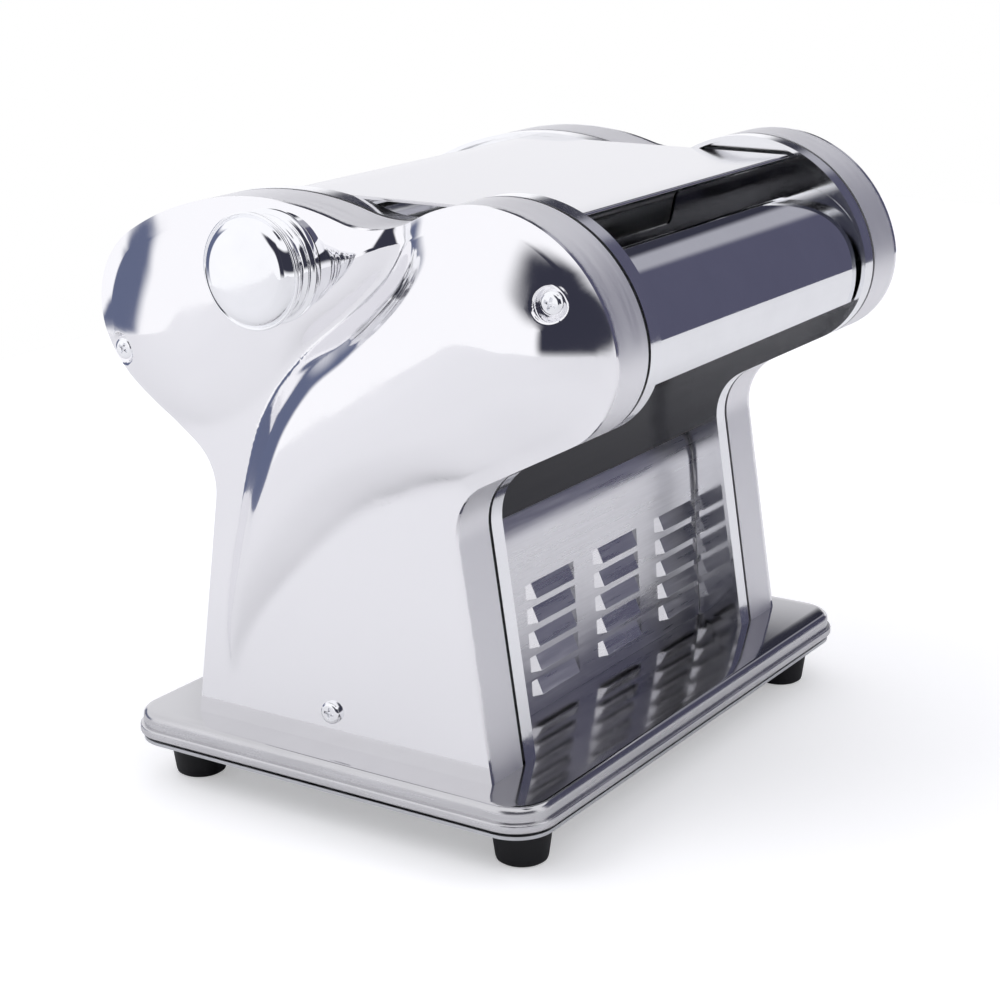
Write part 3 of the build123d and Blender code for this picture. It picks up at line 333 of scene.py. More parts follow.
class Finish(NodeTree):
    """Node tree of one material, built round its shader."""

    def __init__(self, name, metallic=0.0):
        self.material = bpy.data.materials.new(f"pasta_{name}")
        self.material.use_nodes = True
        super().__init__(self.material.node_tree)
        self.output = self.node("ShaderNodeOutputMaterial")
        self.shader = self.node("ShaderNodeBsdfPrincipled", {"Metallic": metallic})
        self.put(self.shader.outputs["BSDF"], self.output.inputs["Surface"])
        self.place = self.node("ShaderNodeTexCoord").outputs["Object"]

    def give(self, name, value):
        """Feeds one of the shader's sockets."""
        self.put(value, self.shader.inputs[name])

    def axis(self, name):
        """One of the object coordinates."""
        return self.node("ShaderNodeSeparateXYZ", {"Vector": self.place}).outputs[name]

    def noise(self, scale, stretch=(1.0, 1.0, 1.0), detail=4.0, roughness=0.55):
        """Noise on object coordinates, stretched along some of its axes."""
        mapping = self.node("ShaderNodeMapping", {"Vector": self.place, "Scale": stretch})
        inputs = {"Scale": scale, "Detail": detail, "Roughness": roughness}
        texture = self.node("ShaderNodeTexNoise", {"Vector": mapping.outputs["Vector"], **inputs})
        return texture.outputs["Fac"]

    def paint(self, texture, colour, low, high):
        """Colours the surface between two shares of a colour."""
        share = self.spread(texture, 0.0, 1.0)
        self.give("Base Color", self.tint(share, near(colour, low), near(colour, high)))

    def bump(self, height, distance, strength):
        """Shades fine unevenness into the surface."""
        node = self.node("ShaderNodeBump", {"Height": height, "Distance": distance, "Strength": strength})
        self.give("Normal", node.outputs["Normal"])


def near(colour, share):
    """The same colour, a little darker or lighter."""
    return tuple(max(0.0, min(1.0, channel * share)) for channel in colour)


def polished_metal(name, colour, roughness):
    """Buffed metal: clear reflections under faint smudges and fine specks."""
    nodes = Finish(name, metallic=1.0)
    smudge = nodes.noise(**SMUDGES)
    nodes.paint(smudge, colour, 0.96, 1.02)
    haze = nodes.spread(smudge, roughness * 0.6, roughness * 1.5)
    specks = nodes.spread(nodes.noise(900.0, detail=2.0), 0.0, roughness * 0.8, 0.55, 0.8)
    nodes.give("Roughness", nodes.math("ADD", haze, specks))
    nodes.bump(nodes.noise(60.0, detail=3.0), 0.00004, 0.35)
    return nodes.material


def brushed_metal(name, colour, roughness, stretch):
    """Brushed metal with its grain along the axis that the stretch leaves short."""
    nodes = Finish(name, metallic=1.0)
    grain = nodes.noise(stretch=stretch, **GRAIN)
    cloud = nodes.noise(22.0, detail=3.0)
    nodes.paint(grain, colour, 0.90, 1.06)
    scratch = nodes.spread(grain, roughness * 0.75, roughness * 1.25)
    nodes.give("Roughness", nodes.math("ADD", scratch, nodes.spread(cloud, -0.04, 0.05)))
    nodes.bump(grain, 0.00003, 0.30)
    return nodes.material


def casing_metal(finishes, sizes):
    """Steel of the casings: a polished face and a brushed skirt, parted at the crease."""
    nodes = Finish("polished_steel", metallic=1.0)
    face_y = sizes.start + sizes.depth
    ragged = nodes.spread(nodes.noise(260.0, detail=2.0), -0.0003, 0.0003)
    edge = nodes.math("ADD", nodes.math("ABSOLUTE", nodes.axis("Y")), ragged)
    on_face = nodes.spread(edge, 0.0, 1.0, face_y - FACE_FADE[0], face_y - FACE_FADE[1], smooth=True)
    smudge = nodes.noise(**SMUDGES)
    grain = nodes.noise(stretch=SKIRT_GRAIN, **GRAIN)
    haze = nodes.spread(smudge, finishes.polish * 0.55, finishes.polish * 1.6)
    hairlines = nodes.spread(nodes.noise(**HAIRLINES), 0.0, finishes.polish * 0.5, 0.5, 0.8)
    skirt = nodes.spread(grain, finishes.brush * 1.45, finishes.brush * 1.75)
    nodes.give("Roughness", nodes.blend(on_face, skirt, nodes.math("ADD", haze, hairlines)))
    tone = nodes.blend(on_face, nodes.spread(grain, 0.35, 0.70), nodes.spread(smudge, 0.85, 1.0))
    nodes.give("Base Color", nodes.tint(tone, near(finishes.satin, 1.06), finishes.polished))
    nodes.bump(nodes.blend(on_face, grain, smudge), 0.00003, 0.25)
    return nodes.material


def tray_metal(finishes):
    """Brushed steel of the tray, polished on its top, and of the top plate, with painted shade darkening the
    tray.
    """
    nodes = Finish("brushed_steel", metallic=1.0)
    height = nodes.axis("Z")
    above_step = nodes.spread(height, 0.0, 1.0, *TRAY_TOP_FADE, smooth=True)
    plate = nodes.spread(height, 0.0, 1.0, *TOP_PLATE_FADE)
    grain = nodes.noise(stretch=TRAY_GRAIN, **GRAIN)
    cloud = nodes.noise(20.0, detail=4.0)
    satin = nodes.spread(grain, finishes.brush * 0.75, finishes.brush * 1.0)
    mirror = nodes.spread(cloud, finishes.polish * 0.8, finishes.polish * 1.7)
    fine = nodes.spread(grain, finishes.brush * 0.38, finishes.brush * 0.48)
    nodes.give("Roughness", nodes.blend(plate, nodes.blend(above_step, satin, mirror), fine))
    # painted shade: the tray is coloured darker than the top plate, and darkest on its top under the machine
    tone = nodes.blend(above_step, nodes.spread(grain, 0.20, 0.65), nodes.spread(cloud, 0.0, 0.25))
    tone = nodes.blend(plate, tone, nodes.spread(grain, 0.85, 1.0))
    nodes.give("Base Color", nodes.tint(tone, near(finishes.satin, 0.66), near(finishes.satin, 0.90)))
    nodes.bump(cloud, 0.00003, 0.15)
    return nodes.material


def cast_metal(name, colour):
    """Die cast metal with a coarse skin."""
    nodes = Finish(name, metallic=1.0)
    patch = nodes.noise(160.0, detail=4.0)
    nodes.paint(patch, colour, 0.85, 1.05)
    nodes.give("Roughness", nodes.spread(patch, 0.42, 0.58))
    nodes.bump(nodes.noise(500.0, detail=3.0), 0.00008, 0.6)
    return nodes.material


def moulded(name, colour, roughness, grain=700.0):
    """Moulded plastic or rubber with a fine skin."""
    nodes = Finish(name)
    nodes.give("Specular IOR Level", 0.3)
    patch = nodes.noise(45.0, detail=3.0)
    nodes.paint(patch, colour, 0.8, 1.25)
    nodes.give("Roughness", nodes.spread(patch, roughness * 0.88, roughness * 1.12))
    nodes.bump(nodes.noise(grain, detail=2.0), 0.00005, 0.4)
    return nodes.material


def slot_materials(finishes, sizes):
    """One material for each finish, by the name of its slot."""
    return {
        "polished_steel": casing_metal(finishes, sizes),
        "brushed_steel": tray_metal(finishes),
        "satin_steel": brushed_metal("satin_steel", finishes.satin, finishes.brush, ALONG_Y),
        # painted shade in part: near-black steel for the deflectors under the guard and for the chute wall
        "dark_steel": brushed_metal("dark_steel", finishes.dark, 0.16, ALONG_Y),
        "bright_steel": polished_metal("bright_steel", finishes.bright, 0.12),
        "chrome": polished_metal("chrome", finishes.bright, 0.045),
        "zinc_plate": brushed_metal("zinc_plate", (0.60, 0.61, 0.63), 0.38, ALONG_X),
        "gear_steel": brushed_metal("gear_steel", (0.46, 0.46, 0.47), 0.34, ALONG_Y),
        "bronze": brushed_metal("bronze", (0.62, 0.40, 0.19), 0.36, ALONG_Y),
        "cast_aluminium": cast_metal("cast_aluminium", (0.60, 0.60, 0.61)),
        "black_rubber": moulded("black_rubber", finishes.rubber, 0.62),
        "black_plastic": moulded("black_plastic", (0.022, 0.022, 0.024), 0.42),
        "white_plastic": moulded("white_plastic", (0.78, 0.78, 0.75), 0.45),
        "red_plastic": moulded("red_plastic", (0.50, 0.02, 0.02), 0.28),
        "motor_paint": moulded("motor_paint", (0.05, 0.05, 0.055), 0.40, 300.0),
    }


# ---------------------------------------------------------------- mesh helpers
def only(items, kind):
    """The items of one kind out of an operator's result."""
    return [item for item in items if isinstance(item, kind)]


def extrude_loop(bm, edges, shift=(0.0, 0.0, 0.0)):
    """Extrudes a loop of edges and returns the new loop."""
    made = bmesh.ops.extrude_edge_only(bm, edges=edges)["geom"]
    bmesh.ops.translate(bm, verts=only(made, bmesh.types.BMVert), vec=shift)
    return only(made, bmesh.types.BMEdge)


def loop_verts(edges):
    """The vertices of a set of edges."""
    return list({vert for edge in edges for vert in edge.verts})


def line_to(bm, vert, point, count=1):
    """Draws a straight run of edges from a vertex to a point."""
    shift = (Vector(point) - vert.co) / count
    for _ in range(count):
        vert = bmesh.ops.extrude_vert_indiv(bm, verts=[vert])["verts"][0]
        bmesh.ops.translate(bm, verts=[vert], vec=shift)
    return vert


def turn_about(bm, vert, centre, angle, count):
    """Draws an arc of edges in X and Z about a centre, anticlockwise seen from the knob end."""
    middle = (centre[0], vert.co.y, centre[1])
    made = bmesh.ops.spin(
        bm,
        geom=[vert],
        cent=middle,
        axis=(0, -1, 0),
        dvec=(0, 0, 0),
        angle=angle,
        steps=count,
        use_merge=False,
    )
    return only(made["geom_last"], bmesh.types.BMVert)[0]


def spin_profile(bm, points, centre, axis, steps):
    """Turns an open profile about an axis through a centre into a closed skin."""
    vert = bm.verts.new(points[0])
    for point in points[1:]:
        vert = line_to(bm, vert, point)
    bmesh.ops.spin(
        bm,
        geom=bm.verts[:] + bm.edges[:],
        cent=centre,
        axis=axis,
        dvec=(0, 0, 0),
        angle=2 * math.pi,
        steps=steps,
        use_merge=True,
    )
    bmesh.ops.remove_doubles(bm, verts=bm.verts[:], dist=TINY)


def round_edges(bm, edges, offset, segments):
    """Rounds edges with arcs."""
    bmesh.ops.bevel(
        bm,
        geom=edges,
        offset=offset,
        offset_type="OFFSET",
        segments=segments,
        profile=0.5,
        affect="EDGES",
        clamp_overlap=True,
        material=-1,
    )


def finish_piece(name, bm, body, nodes, slot, outward=None, sharp=35.0, wall=0.0):
    """Makes an object of a bmesh, facing outwards at a given point, and puts it on its body."""
    bmesh.ops.remove_doubles(bm, verts=bm.verts[:], dist=TINY)
    bmesh.ops.recalc_face_normals(bm, faces=bm.faces[:])
    if outward is not None:
        at, direction = Vector(outward[0]), Vector(outward[1])
        nearest = min(bm.faces, key=lambda face: (face.calc_center_median() - at).length)
        if nearest.normal.dot(direction) < 0:
            bmesh.ops.reverse_faces(bm, faces=bm.faces[:])
    if wall:
        bm.normal_update()
        bmesh.ops.solidify(bm, geom=bm.faces[:], thickness=wall)
    limit = math.radians(sharp)
    for edge in bm.edges:
        edge.smooth = len(edge.link_faces) == 2 and edge.calc_face_angle() < limit
    mesh = bpy.data.meshes.new(name)
    bm.to_mesh(mesh)
    bm.free()
    mesh.materials.append(bpy.data.materials[f"pasta_{slot}"])
    for polygon in mesh.polygons:
        polygon.use_smooth = True
    piece = bpy.data.objects.new(name, mesh)
    bpy.context.scene.collection.objects.link(piece)
    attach(piece, body)
    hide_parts(*nodes)
    return piece


def hollow(piece, wall):
    """Gives a deep pressing the thickness of its sheet, inwards."""
    solid = piece.modifiers.new("Sheet", "SOLIDIFY")
    solid.thickness = wall
    solid.offset = -1.0
    solid.use_even_offset = False


def soften_edges(piece, width):
    """Breaks the sharp edges of a piece."""
    bevel = piece.modifiers.new("Edges", "BEVEL")
    bevel.width = width
    bevel.segments = 2
    bevel.limit_method = "ANGLE"
    bevel.angle_limit = math.radians(50)
    bevel.harden_normals = True


# ---------------------------------------------------------------- outline of the ends
WAIST = Vector((0.0695, 0.1105))
WAIST_RADIUS = 0.020
RIGHT_SIDE = Vector((0.0782, 0.1723))
RIGHT_SIDE_RADIUS = 0.0305
RIGHT_TOP = Vector((0.06023, 0.1679))
RIGHT_TOP_RADIUS = 0.049
VALLEY = Vector((0.01731, 0.24702))
LEFT_TOP = Vector((-0.02623, 0.1045))
LEFT_TOP_RADIUS = 0.108
LEFT_SIDE = Vector((-0.067, 0.171))
LEFT_SIDE_RADIUS = 0.030
FACE_MIDDLE = Vector((0.005, 0.150))
HELD_CLEAR = 0.02


def leg_points(sizes, side, radius, inset):
    """Foot, waist and lobe points of one side of the outline, drawn on the right."""
    corner = Vector((sizes.foot_half_width, sizes.foot_height))
    to_waist = WAIST - corner
    leg_angle = math.atan2(to_waist.y, to_waist.x) + math.asin(WAIST_RADIUS / to_waist.length)
    leg_normal = Vector((-math.sin(leg_angle), math.cos(leg_angle)))
    low = WAIST + leg_normal * (WAIST_RADIUS + inset)
    foot_z = sizes.foot_height
    foot = Vector((low.x + (foot_z - low.y) / math.tan(leg_angle), foot_z))
    to_side = side - WAIST
    brow_angle = math.atan2(to_side.y, to_side.x) - math.asin((WAIST_RADIUS + radius) / to_side.length)
    brow_normal = Vector((-math.sin(brow_angle), math.cos(brow_angle)))
    high = WAIST + brow_normal * (WAIST_RADIUS + inset)
    lobe = side - brow_normal * (radius - inset)
    return foot, low, high, lobe


def swing(centre, start, end):
    """Angle of the shorter arc from start to end about a centre, anticlockwise positive."""
    first, second = start - centre, end - centre
    return math.atan2(first.x * second.y - first.y * second.x, first.dot(second))


def outline_runs(sizes, inset):
    """The outline's start and its runs: each has an end point and, for an arc, a centre."""
    foot, low, high, lobe = leg_points(sizes, RIGHT_SIDE, RIGHT_SIDE_RADIUS, inset)
    flipped_side = Vector((-LEFT_SIDE.x, LEFT_SIDE.y))
    left = [Vector((-p.x, p.y)) for p in leg_points(sizes, flipped_side, LEFT_SIDE_RADIUS, inset)]
    foot_left, low_left, high_left, lobe_left = left
    right_top, left_top = RIGHT_TOP_RADIUS - inset, LEFT_TOP_RADIUS - inset
    right_shoulder = RIGHT_TOP + (RIGHT_SIDE - RIGHT_TOP).normalized() * right_top
    valley_right = RIGHT_TOP + (VALLEY - RIGHT_TOP).normalized() * right_top
    valley_left = LEFT_TOP + (VALLEY - LEFT_TOP).normalized() * left_top
    left_shoulder = LEFT_TOP + (LEFT_SIDE - LEFT_TOP).normalized() * left_top
    runs = [
        (low, None),
        (high, WAIST),
        (lobe, None),
        (right_shoulder, RIGHT_SIDE),
        (valley_right, RIGHT_TOP),
        (valley_left, VALLEY),
        (left_shoulder, LEFT_TOP),
        (lobe_left, LEFT_SIDE),
        (high_left, None),
        (low_left, Vector((-WAIST.x, WAIST.y))),
        (foot_left, None),
        (foot, None),
    ]
    return foot, runs


def run_counts(sizes):
    """How many edges each run of the outline gets, the same for every inset."""
    start, runs = outline_runs(sizes, 0.0)
    counts = []
    for end, centre in runs:
        length = (end - start).length
        if centre is not None:
            length = abs(swing(centre, start, end)) * (start - centre).length
        counts.append(max(2, round(length / sizes.step)))
        start = end
    return counts


def draw_outline(bm, sizes, inset, y):
    """Draws the ends' closed outline in a plane across the rollers and returns its edges."""
    before = set(bm.edges)
    start, runs = outline_runs(sizes, inset)
    first = vert = bm.verts.new((start.x, y, start.y))
    for (end, centre), count in zip(runs, run_counts(sizes)):
        if centre is None:
            vert = line_to(bm, vert, (end.x, y, end.y), count)
        else:
            here = Vector((vert.co.x, vert.co.z))
            vert = turn_about(bm, vert, centre, swing(centre, here, end), count)
    bmesh.ops.weld_verts(bm, targetmap={vert: first})
    return [edge for edge in bm.edges if edge not in before]


def bridge(bm, first, second):
    """Faces between two loops of the same number of edges."""
    bmesh.ops.bridge_loops(bm, edges=first + second)


def bridge_flat(bm, outer, inner):
    """Faces between two loops in one plane; the inner one is held clear of it while they are joined."""
    verts = loop_verts(inner)
    bmesh.ops.translate(bm, verts=verts, vec=(0, HELD_CLEAR, 0))
    bridge(bm, outer, inner)
    bmesh.ops.translate(bm, verts=verts, vec=(0, -HELD_CLEAR, 0))


# ---------------------------------------------------------------- casings
class Curve:
    """Smooth curve in X and Z through some points, with the pressed form on its left."""

    def __init__(self, points, closed=False, pieces=24):
        knots = [Vector(point) * MM for point in points]
        if not closed:
            knots = [2 * knots[0] - knots[1], *knots, 2 * knots[-1] - knots[-2]]
        count = len(knots)
        spans = range(count) if closed else range(1, count - 2)
        self.closed = closed
        self.samples = []
        for index in spans:
            before, start, end, after = (knots[(index + step) % count] for step in (-1, 0, 1, 2))
            bend = 2 * before - 5 * start + 4 * end - after
            twist = 3 * start - before - 3 * end + after
            for piece in range(pieces):
                t = piece / pieces
                self.samples.append(0.5 * (2 * start + (end - before) * t + bend * t * t + twist * t ** 3))
        self.tree = KDTree(len(self.samples))
        for index, sample in enumerate(self.samples):
            self.tree.insert((sample.x, 0.0, sample.y), index)
        self.tree.balance()

    def depth(self, x, z):
        """Distance from the curve, positive on its left."""
        _, index, distance = self.tree.find((x, 0.0, z))
        if not self.closed:
            index = max(1, min(index, len(self.samples) - 2))
        here = self.samples[index]
        ahead = self.samples[(index + 1) % len(self.samples)] - self.samples[index - 1]
        side = ahead.x * (z - here.y) - ahead.y * (x - here.x)
        return math.copysign(distance, side)


# edges of the raised forms in mm: the crescent's blade from the valley down to its tip, its lower
# edge from the tip to the waist, its edge round the right lobe, and the dome that carries the knob
BLADE_EDGE = [(40, 220), (33.5, 206), (27.5, 195), (17.5, 185), (4, 173.5), (-10.8, 161.5), (-22.5, 147)]
BLADE_EDGE += [(-30, 133), (-36.3, 115), (-41.5, 96), (-45.5, 78), (-47.6, 60), (-46, 44), (-43, 30)]
LOWER_EDGE = [(-52, 30), (-45.5, 44), (-37.4, 60.5), (-27.5, 74.5), (-14.3, 88.8), (-1.4, 101.3)]
LOWER_EDGE += [(12.7, 112.2), (29.7, 120.5), (46.1, 126.5), (66, 131), (90, 134)]
LOBE_EDGE = [(50, 115), (72, 136), (92, 146.5), (102.5, 158), (106, 173), (103.5, 187), (96, 198)]
LOBE_EDGE += [(84, 207), (71, 212.5), (57, 214.8), (43, 213), (30, 207.5), (18, 204)]
DOME_EDGE = [(-94, 166), (-87, 147), (-72, 135.5), (-55, 132), (-37, 139), (-20, 153), (-4, 168), (8, 177)]
DOME_EDGE += [(18, 185), (27, 195), (30, 207), (8, 207), (-14, 210), (-50, 209), (-78, 198)]
BOSS_PLACE = Vector((-0.010, 0.194))

# the crescent: a straight flank up to its shoulder, and a back that goes on rising from there
FLANK_SLOPE = 0.78
FLANK_WIDTH = 0.012
SHOULDER_HEIGHT = 0.0088
SHOULDER_ROUNDING = 0.0022
BACK_REACH = 0.040
BACK_DROP = 0.0085
LOWER_REACH = 0.030
LOBE_REACH = 0.046
LOBE_ROUNDING = 0.004
RIDGE_ROUNDING = (0.0006, 0.004)
RIDGE_SHARE = 0.4
BRIM = 0.0003

# the dome: a long slope on its left, a steep one round the boss and towards the crescent
DOME_REACH = 0.032
BOSS_SLOPE = 1.05
BOSS_ROUNDING = 0.003
BOSS_RING = (0.0172, 0.026)
BOSS_FADE = (0.030, 0.052)
RIGHT_FADE = (-0.024, -0.004)
FORM_ROUNDING = 0.0012
FACE_ROUNDING = 0.0005

# X, Z and height of the face at each screw, and the flat seat under its head
SCREW_PLACES = [(-0.0865, 0.156, 0.0), (0.0886, 0.1906, 0.0034), (-0.0027, 0.0387, 0.0)]
SCREW_SEAT = 0.0044
SEAT_BLEND = 0.0014
SCREW_ZONE = 0.0085
CREASE_MARGIN = 0.0004


def smooth_step(value, low, high):
    """0 below low, 1 above high, and smooth in between."""
    share = max(0.0, min(1.0, (value - low) / (high - low)))
    return share * share * (3 - 2 * share)


def soft_min(first, second, radius):
    """The smaller of two heights, with a rounded ridge where they meet."""
    overlap = max(radius - abs(first - second), 0.0) / radius
    return min(first, second) - overlap * overlap * radius / 4


def rise(depth, reach, fullness, height):
    """Height of a rounded slope at a distance from its foot."""
    if depth <= 0:
        return depth * fullness * height / reach
    return height * (1 - (1 - min(1.0, depth / reach)) ** fullness)


def crescent_height(forms, height, x, z):
    """Height of the crescent: a steep flank under its blade, then a full back down to its lower edge."""
    inside = forms["blade"].depth(x, z)
    back = SHOULDER_HEIGHT + rise(inside - FLANK_WIDTH, BACK_REACH, 2.0, height - BACK_DROP)
    flank = soft_min(FLANK_SLOPE * inside, back, SHOULDER_ROUNDING)
    lower = rise(forms["lower"].depth(x, z), LOWER_REACH, 2.0, height + BRIM)
    lobe = rise(forms["lobe"].depth(x, z), LOBE_REACH, 2.1, height + BRIM)
    ridge = max(RIDGE_ROUNDING[0], min(RIDGE_ROUNDING[1], RIDGE_SHARE * flank))
    return soft_min(soft_min(flank, lower, ridge), lobe, LOBE_ROUNDING)


def dome_height(forms, height, x, z):
    """Height of the dome: steep round the boss of the knob, and a full slope on its left."""
    inside = forms["dome"].depth(x, z)
    away = math.hypot(x - BOSS_PLACE.x, z - BOSS_PLACE.y)
    slope = rise(inside, DOME_REACH, 2.2, height)
    steep = soft_min(BOSS_SLOPE * inside, height, BOSS_ROUNDING)
    right = (1 - smooth_step(away, *BOSS_FADE)) * smooth_step(x, *RIGHT_FADE)
    return slope + (steep - slope) * max(right, 1 - smooth_step(away, *BOSS_RING))


def face_height(sizes, forms, x, z):
    """How far the casing's face stands out over a point in X and Z."""
    crescent = crescent_height(forms, sizes.crescent_height, x, z)
    dome = dome_height(forms, sizes.dome_height, x, z)
    height = -soft_min(-crescent, -dome, FORM_ROUNDING)
    return -soft_min(-height, 0.0, FACE_ROUNDING)


def near_screw(place):
    """True for a point of the face close to a screw, where the mesh is finer."""
    return any(math.hypot(place.x - x, place.z - z) < SCREW_ZONE for x, z, _ in SCREW_PLACES)


def seat_screws(height, x, z):
    """Flattens the face where a screw's head sits."""
    for seat_x, seat_z, seat in SCREW_PLACES:
        away = math.hypot(x - seat_x, z - seat_z)
        height += (seat - height) * (1 - smooth_step(away, SCREW_SEAT, SCREW_SEAT + SEAT_BLEND))
    return height


def crease_edge(edge):
    """True for an edge where the skirt meets the face."""
    if len(edge.link_faces) != 2:
        return False
    first, second = (face.normal for face in edge.link_faces)
    return abs(first.y) < 0.3 < abs(second.y) or abs(second.y) < 0.3 < abs(first.y)


def casing_skin(sizes):
    """Skirt, rounded crease and flat face of the casing at the knob end."""
    bm = bmesh.new()
    face_y = sizes.start + sizes.depth
    open_edge = draw_outline(bm, sizes, 0.0, -sizes.start)
    crease = draw_outline(bm, sizes, 0.0, -face_y)
    bridge(bm, open_edge, crease)
    loop = draw_outline(bm, sizes, sizes.crease + CREASE_MARGIN, -face_y)
    bridge_flat(bm, crease, loop)
    to_middle = Matrix.Translation((-FACE_MIDDLE.x, 0, -FACE_MIDDLE.y))
    for ring in range(sizes.rings, 1, -1):
        loop = extrude_loop(bm, loop)
        share = (ring - 1) / ring
        bmesh.ops.scale(bm, vec=(share, 1.0, share), space=to_middle, verts=loop_verts(loop))
    bmesh.ops.contextual_create(bm, geom=loop)
    bm.normal_update()
    round_edges(bm, [edge for edge in bm.edges if crease_edge(edge)], sizes.crease, 8)
    return bm


def press_face(bm, sizes):
    """Presses the crescent, the dome and the seats of the screws out of the flat face."""
    face_y = sizes.start + sizes.depth
    forms = {
        "blade": Curve(BLADE_EDGE),
        "lower": Curve(LOWER_EDGE),
        "lobe": Curve(LOBE_EDGE),
        "dome": Curve(DOME_EDGE, closed=True),
    }
    around = [e for e in bm.edges if all(v.co.y < TINY - face_y and near_screw(v.co) for v in e.verts)]
    bmesh.ops.subdivide_edges(bm, edges=around, cuts=3, use_grid_fill=True)
    face_verts = [vert for vert in bm.verts if vert.co.y < TINY - face_y]
    for vert in face_verts:
        vert.co.y -= face_height(sizes, forms, vert.co.x, vert.co.z)
    coarse = [vert for vert in face_verts if not near_screw(vert.co)]
    bmesh.ops.smooth_vert(bm, verts=coarse, factor=0.3, use_axis_y=True)
    for vert in face_verts:
        vert.co.y = -face_y - seat_screws(-face_y - vert.co.y, vert.co.x, vert.co.z)


def casing(name, node, side, sizes):
    """Pressed casing, open at its back and its foot."""
    bm = casing_skin(sizes)
    press_face(bm, sizes)
    floor_z = sizes.foot_height + 10 * TINY
    ledge = [face for face in bm.faces if all(vert.co.z < floor_z for vert in face.verts)]
    bmesh.ops.delete(bm, geom=ledge, context="FACES")
    if side > 0:
        bmesh.ops.scale(bm, vec=(1, -1, 1), verts=bm.verts[:])
    outward = ((0.0, side * (sizes.start + sizes.depth), 0.06), (0, side, 0))
    piece = finish_piece(name, bm, HOUSING, [node], "polished_steel", outward=outward, sharp=50.0)
    hollow(piece, sizes.wall)


class PASTA_OT_casings(bpy.types.Operator):
    """Make the near and far casings"""

    bl_idname = "pasta.casings"
    bl_label = "Casings"

    def execute(self, context):
        sizes = context.scene.pasta_casings
        casing("near_casing", "near_cover", -1, sizes)
        casing("far_casing", "far_cover", 1, sizes)
        return {"FINISHED"}


# ---------------------------------------------------------------- end plates
# X, Z and radius of the bores: rollers and knob shaft, tie rods, and the gear shafts of the far end
SHAFT_BORES = [(-0.038, 0.172, 0.008), (0.057, 0.170, 0.008), (0.081, 0.170, 0.008), (-0.010, 0.194, 0.008)]
ROD_BORES = [(0.030, 0.196, 0.004), (0.0, 0.160, 0.004), (-0.026, 0.114, 0.004), (0.026, 0.114, 0.004)]
GEAR_BORES = [(0.0, 0.078165, 0.007), (0.009082, 0.126824, 0.005)]
SLOT_PLACE = (-0.0719, 0.172)
SLOT_HALF = (0.01045, 0.00965)
WEB_MARGIN = 0.0035
PLATE_ROUNDING = 0.0018
PLATE_INNER_ROUNDING = 0.0006


def bore_loop(bm, x, y, z, radius, segments=40):
    """Circle in X and Z, drawn as a loop of edges."""
    before = set(bm.edges)
    place = Matrix.Translation((x, y, z)) @ Matrix.Rotation(math.pi / 2, 4, "X")
    bmesh.ops.create_circle(bm, cap_ends=False, radius=radius, segments=segments, matrix=place)
    return [edge for edge in bm.edges if edge not in before]


def slot_loop(bm, y):
    """Rectangular opening in which the movable roller's block slides."""
    place = Matrix.Translation((SLOT_PLACE[0], y, SLOT_PLACE[1])) @ Matrix.Rotation(math.pi / 2, 4, "X")
    turned = place @ Matrix.Diagonal((*SLOT_HALF, 1, 1)) @ Matrix.Rotation(math.pi / 4, 4, "Z")
    before = set(bm.edges)
    bmesh.ops.create_circle(bm, cap_ends=False, radius=math.sqrt(2), segments=4, matrix=turned)
    return [edge for edge in bm.edges if edge not in before]


def plate_skin(bm, sizes, inset, y, rim_y, bores):
    """One side of an end plate: its turned rim and its bored web."""
    rim = draw_outline(bm, sizes, inset, rim_y)
    corner = draw_outline(bm, sizes, inset, y)
    web = draw_outline(bm, sizes, WEB_MARGIN, y)
    bridge(bm, rim, corner)
    bridge_flat(bm, corner, web)
    holes = [bore_loop(bm, x, y, z, radius) for x, z, radius in bores]
    holes.append(slot_loop(bm, y))
    bmesh.ops.triangle_fill(bm, use_beauty=True, edges=web + [edge for hole in holes for edge in hole])
    return rim, corner, holes


def end_plate(name, node, side, sizes, bores):
    """End plate: a bored web with its rim turned inwards round the edge."""
    bm = bmesh.new()
    rim_y, face_y = side * sizes.plate_edge, side * sizes.plate_face
    outer_rim, outer_corner, outer_holes = plate_skin(bm, sizes, 0.0, face_y, rim_y, bores)
    inner_y = side * (sizes.plate_face - sizes.plate_wall)
    inner_rim, inner_corner, inner_holes = plate_skin(bm, sizes, sizes.plate_wall, inner_y, rim_y, bores)
    bridge_flat(bm, outer_rim, inner_rim)
    for outer, inner in zip(outer_holes, inner_holes):
        bridge(bm, outer, inner)
    round_edges(bm, outer_corner, PLATE_ROUNDING, 5)
    round_edges(bm, [edge for edge in inner_corner if edge.is_valid], PLATE_INNER_ROUNDING, 3)
    finish_piece(name, bm, HOUSING, [node], "bright_steel", sharp=30.0)


class PASTA_OT_end_plates(bpy.types.Operator):
    """Make the two end plates with their turned rims"""

    bl_idname = "pasta.end_plates"
    bl_label = "End Plates"

    def execute(self, context):
        sizes = context.scene.pasta_casings
        bores = SHAFT_BORES + ROD_BORES
        end_plate("near_plate", "near_end_plate", -1, sizes, bores)
        end_plate("far_plate", "far_end_plate", 1, sizes, bores + GEAR_BORES)
        return {"FINISHED"}


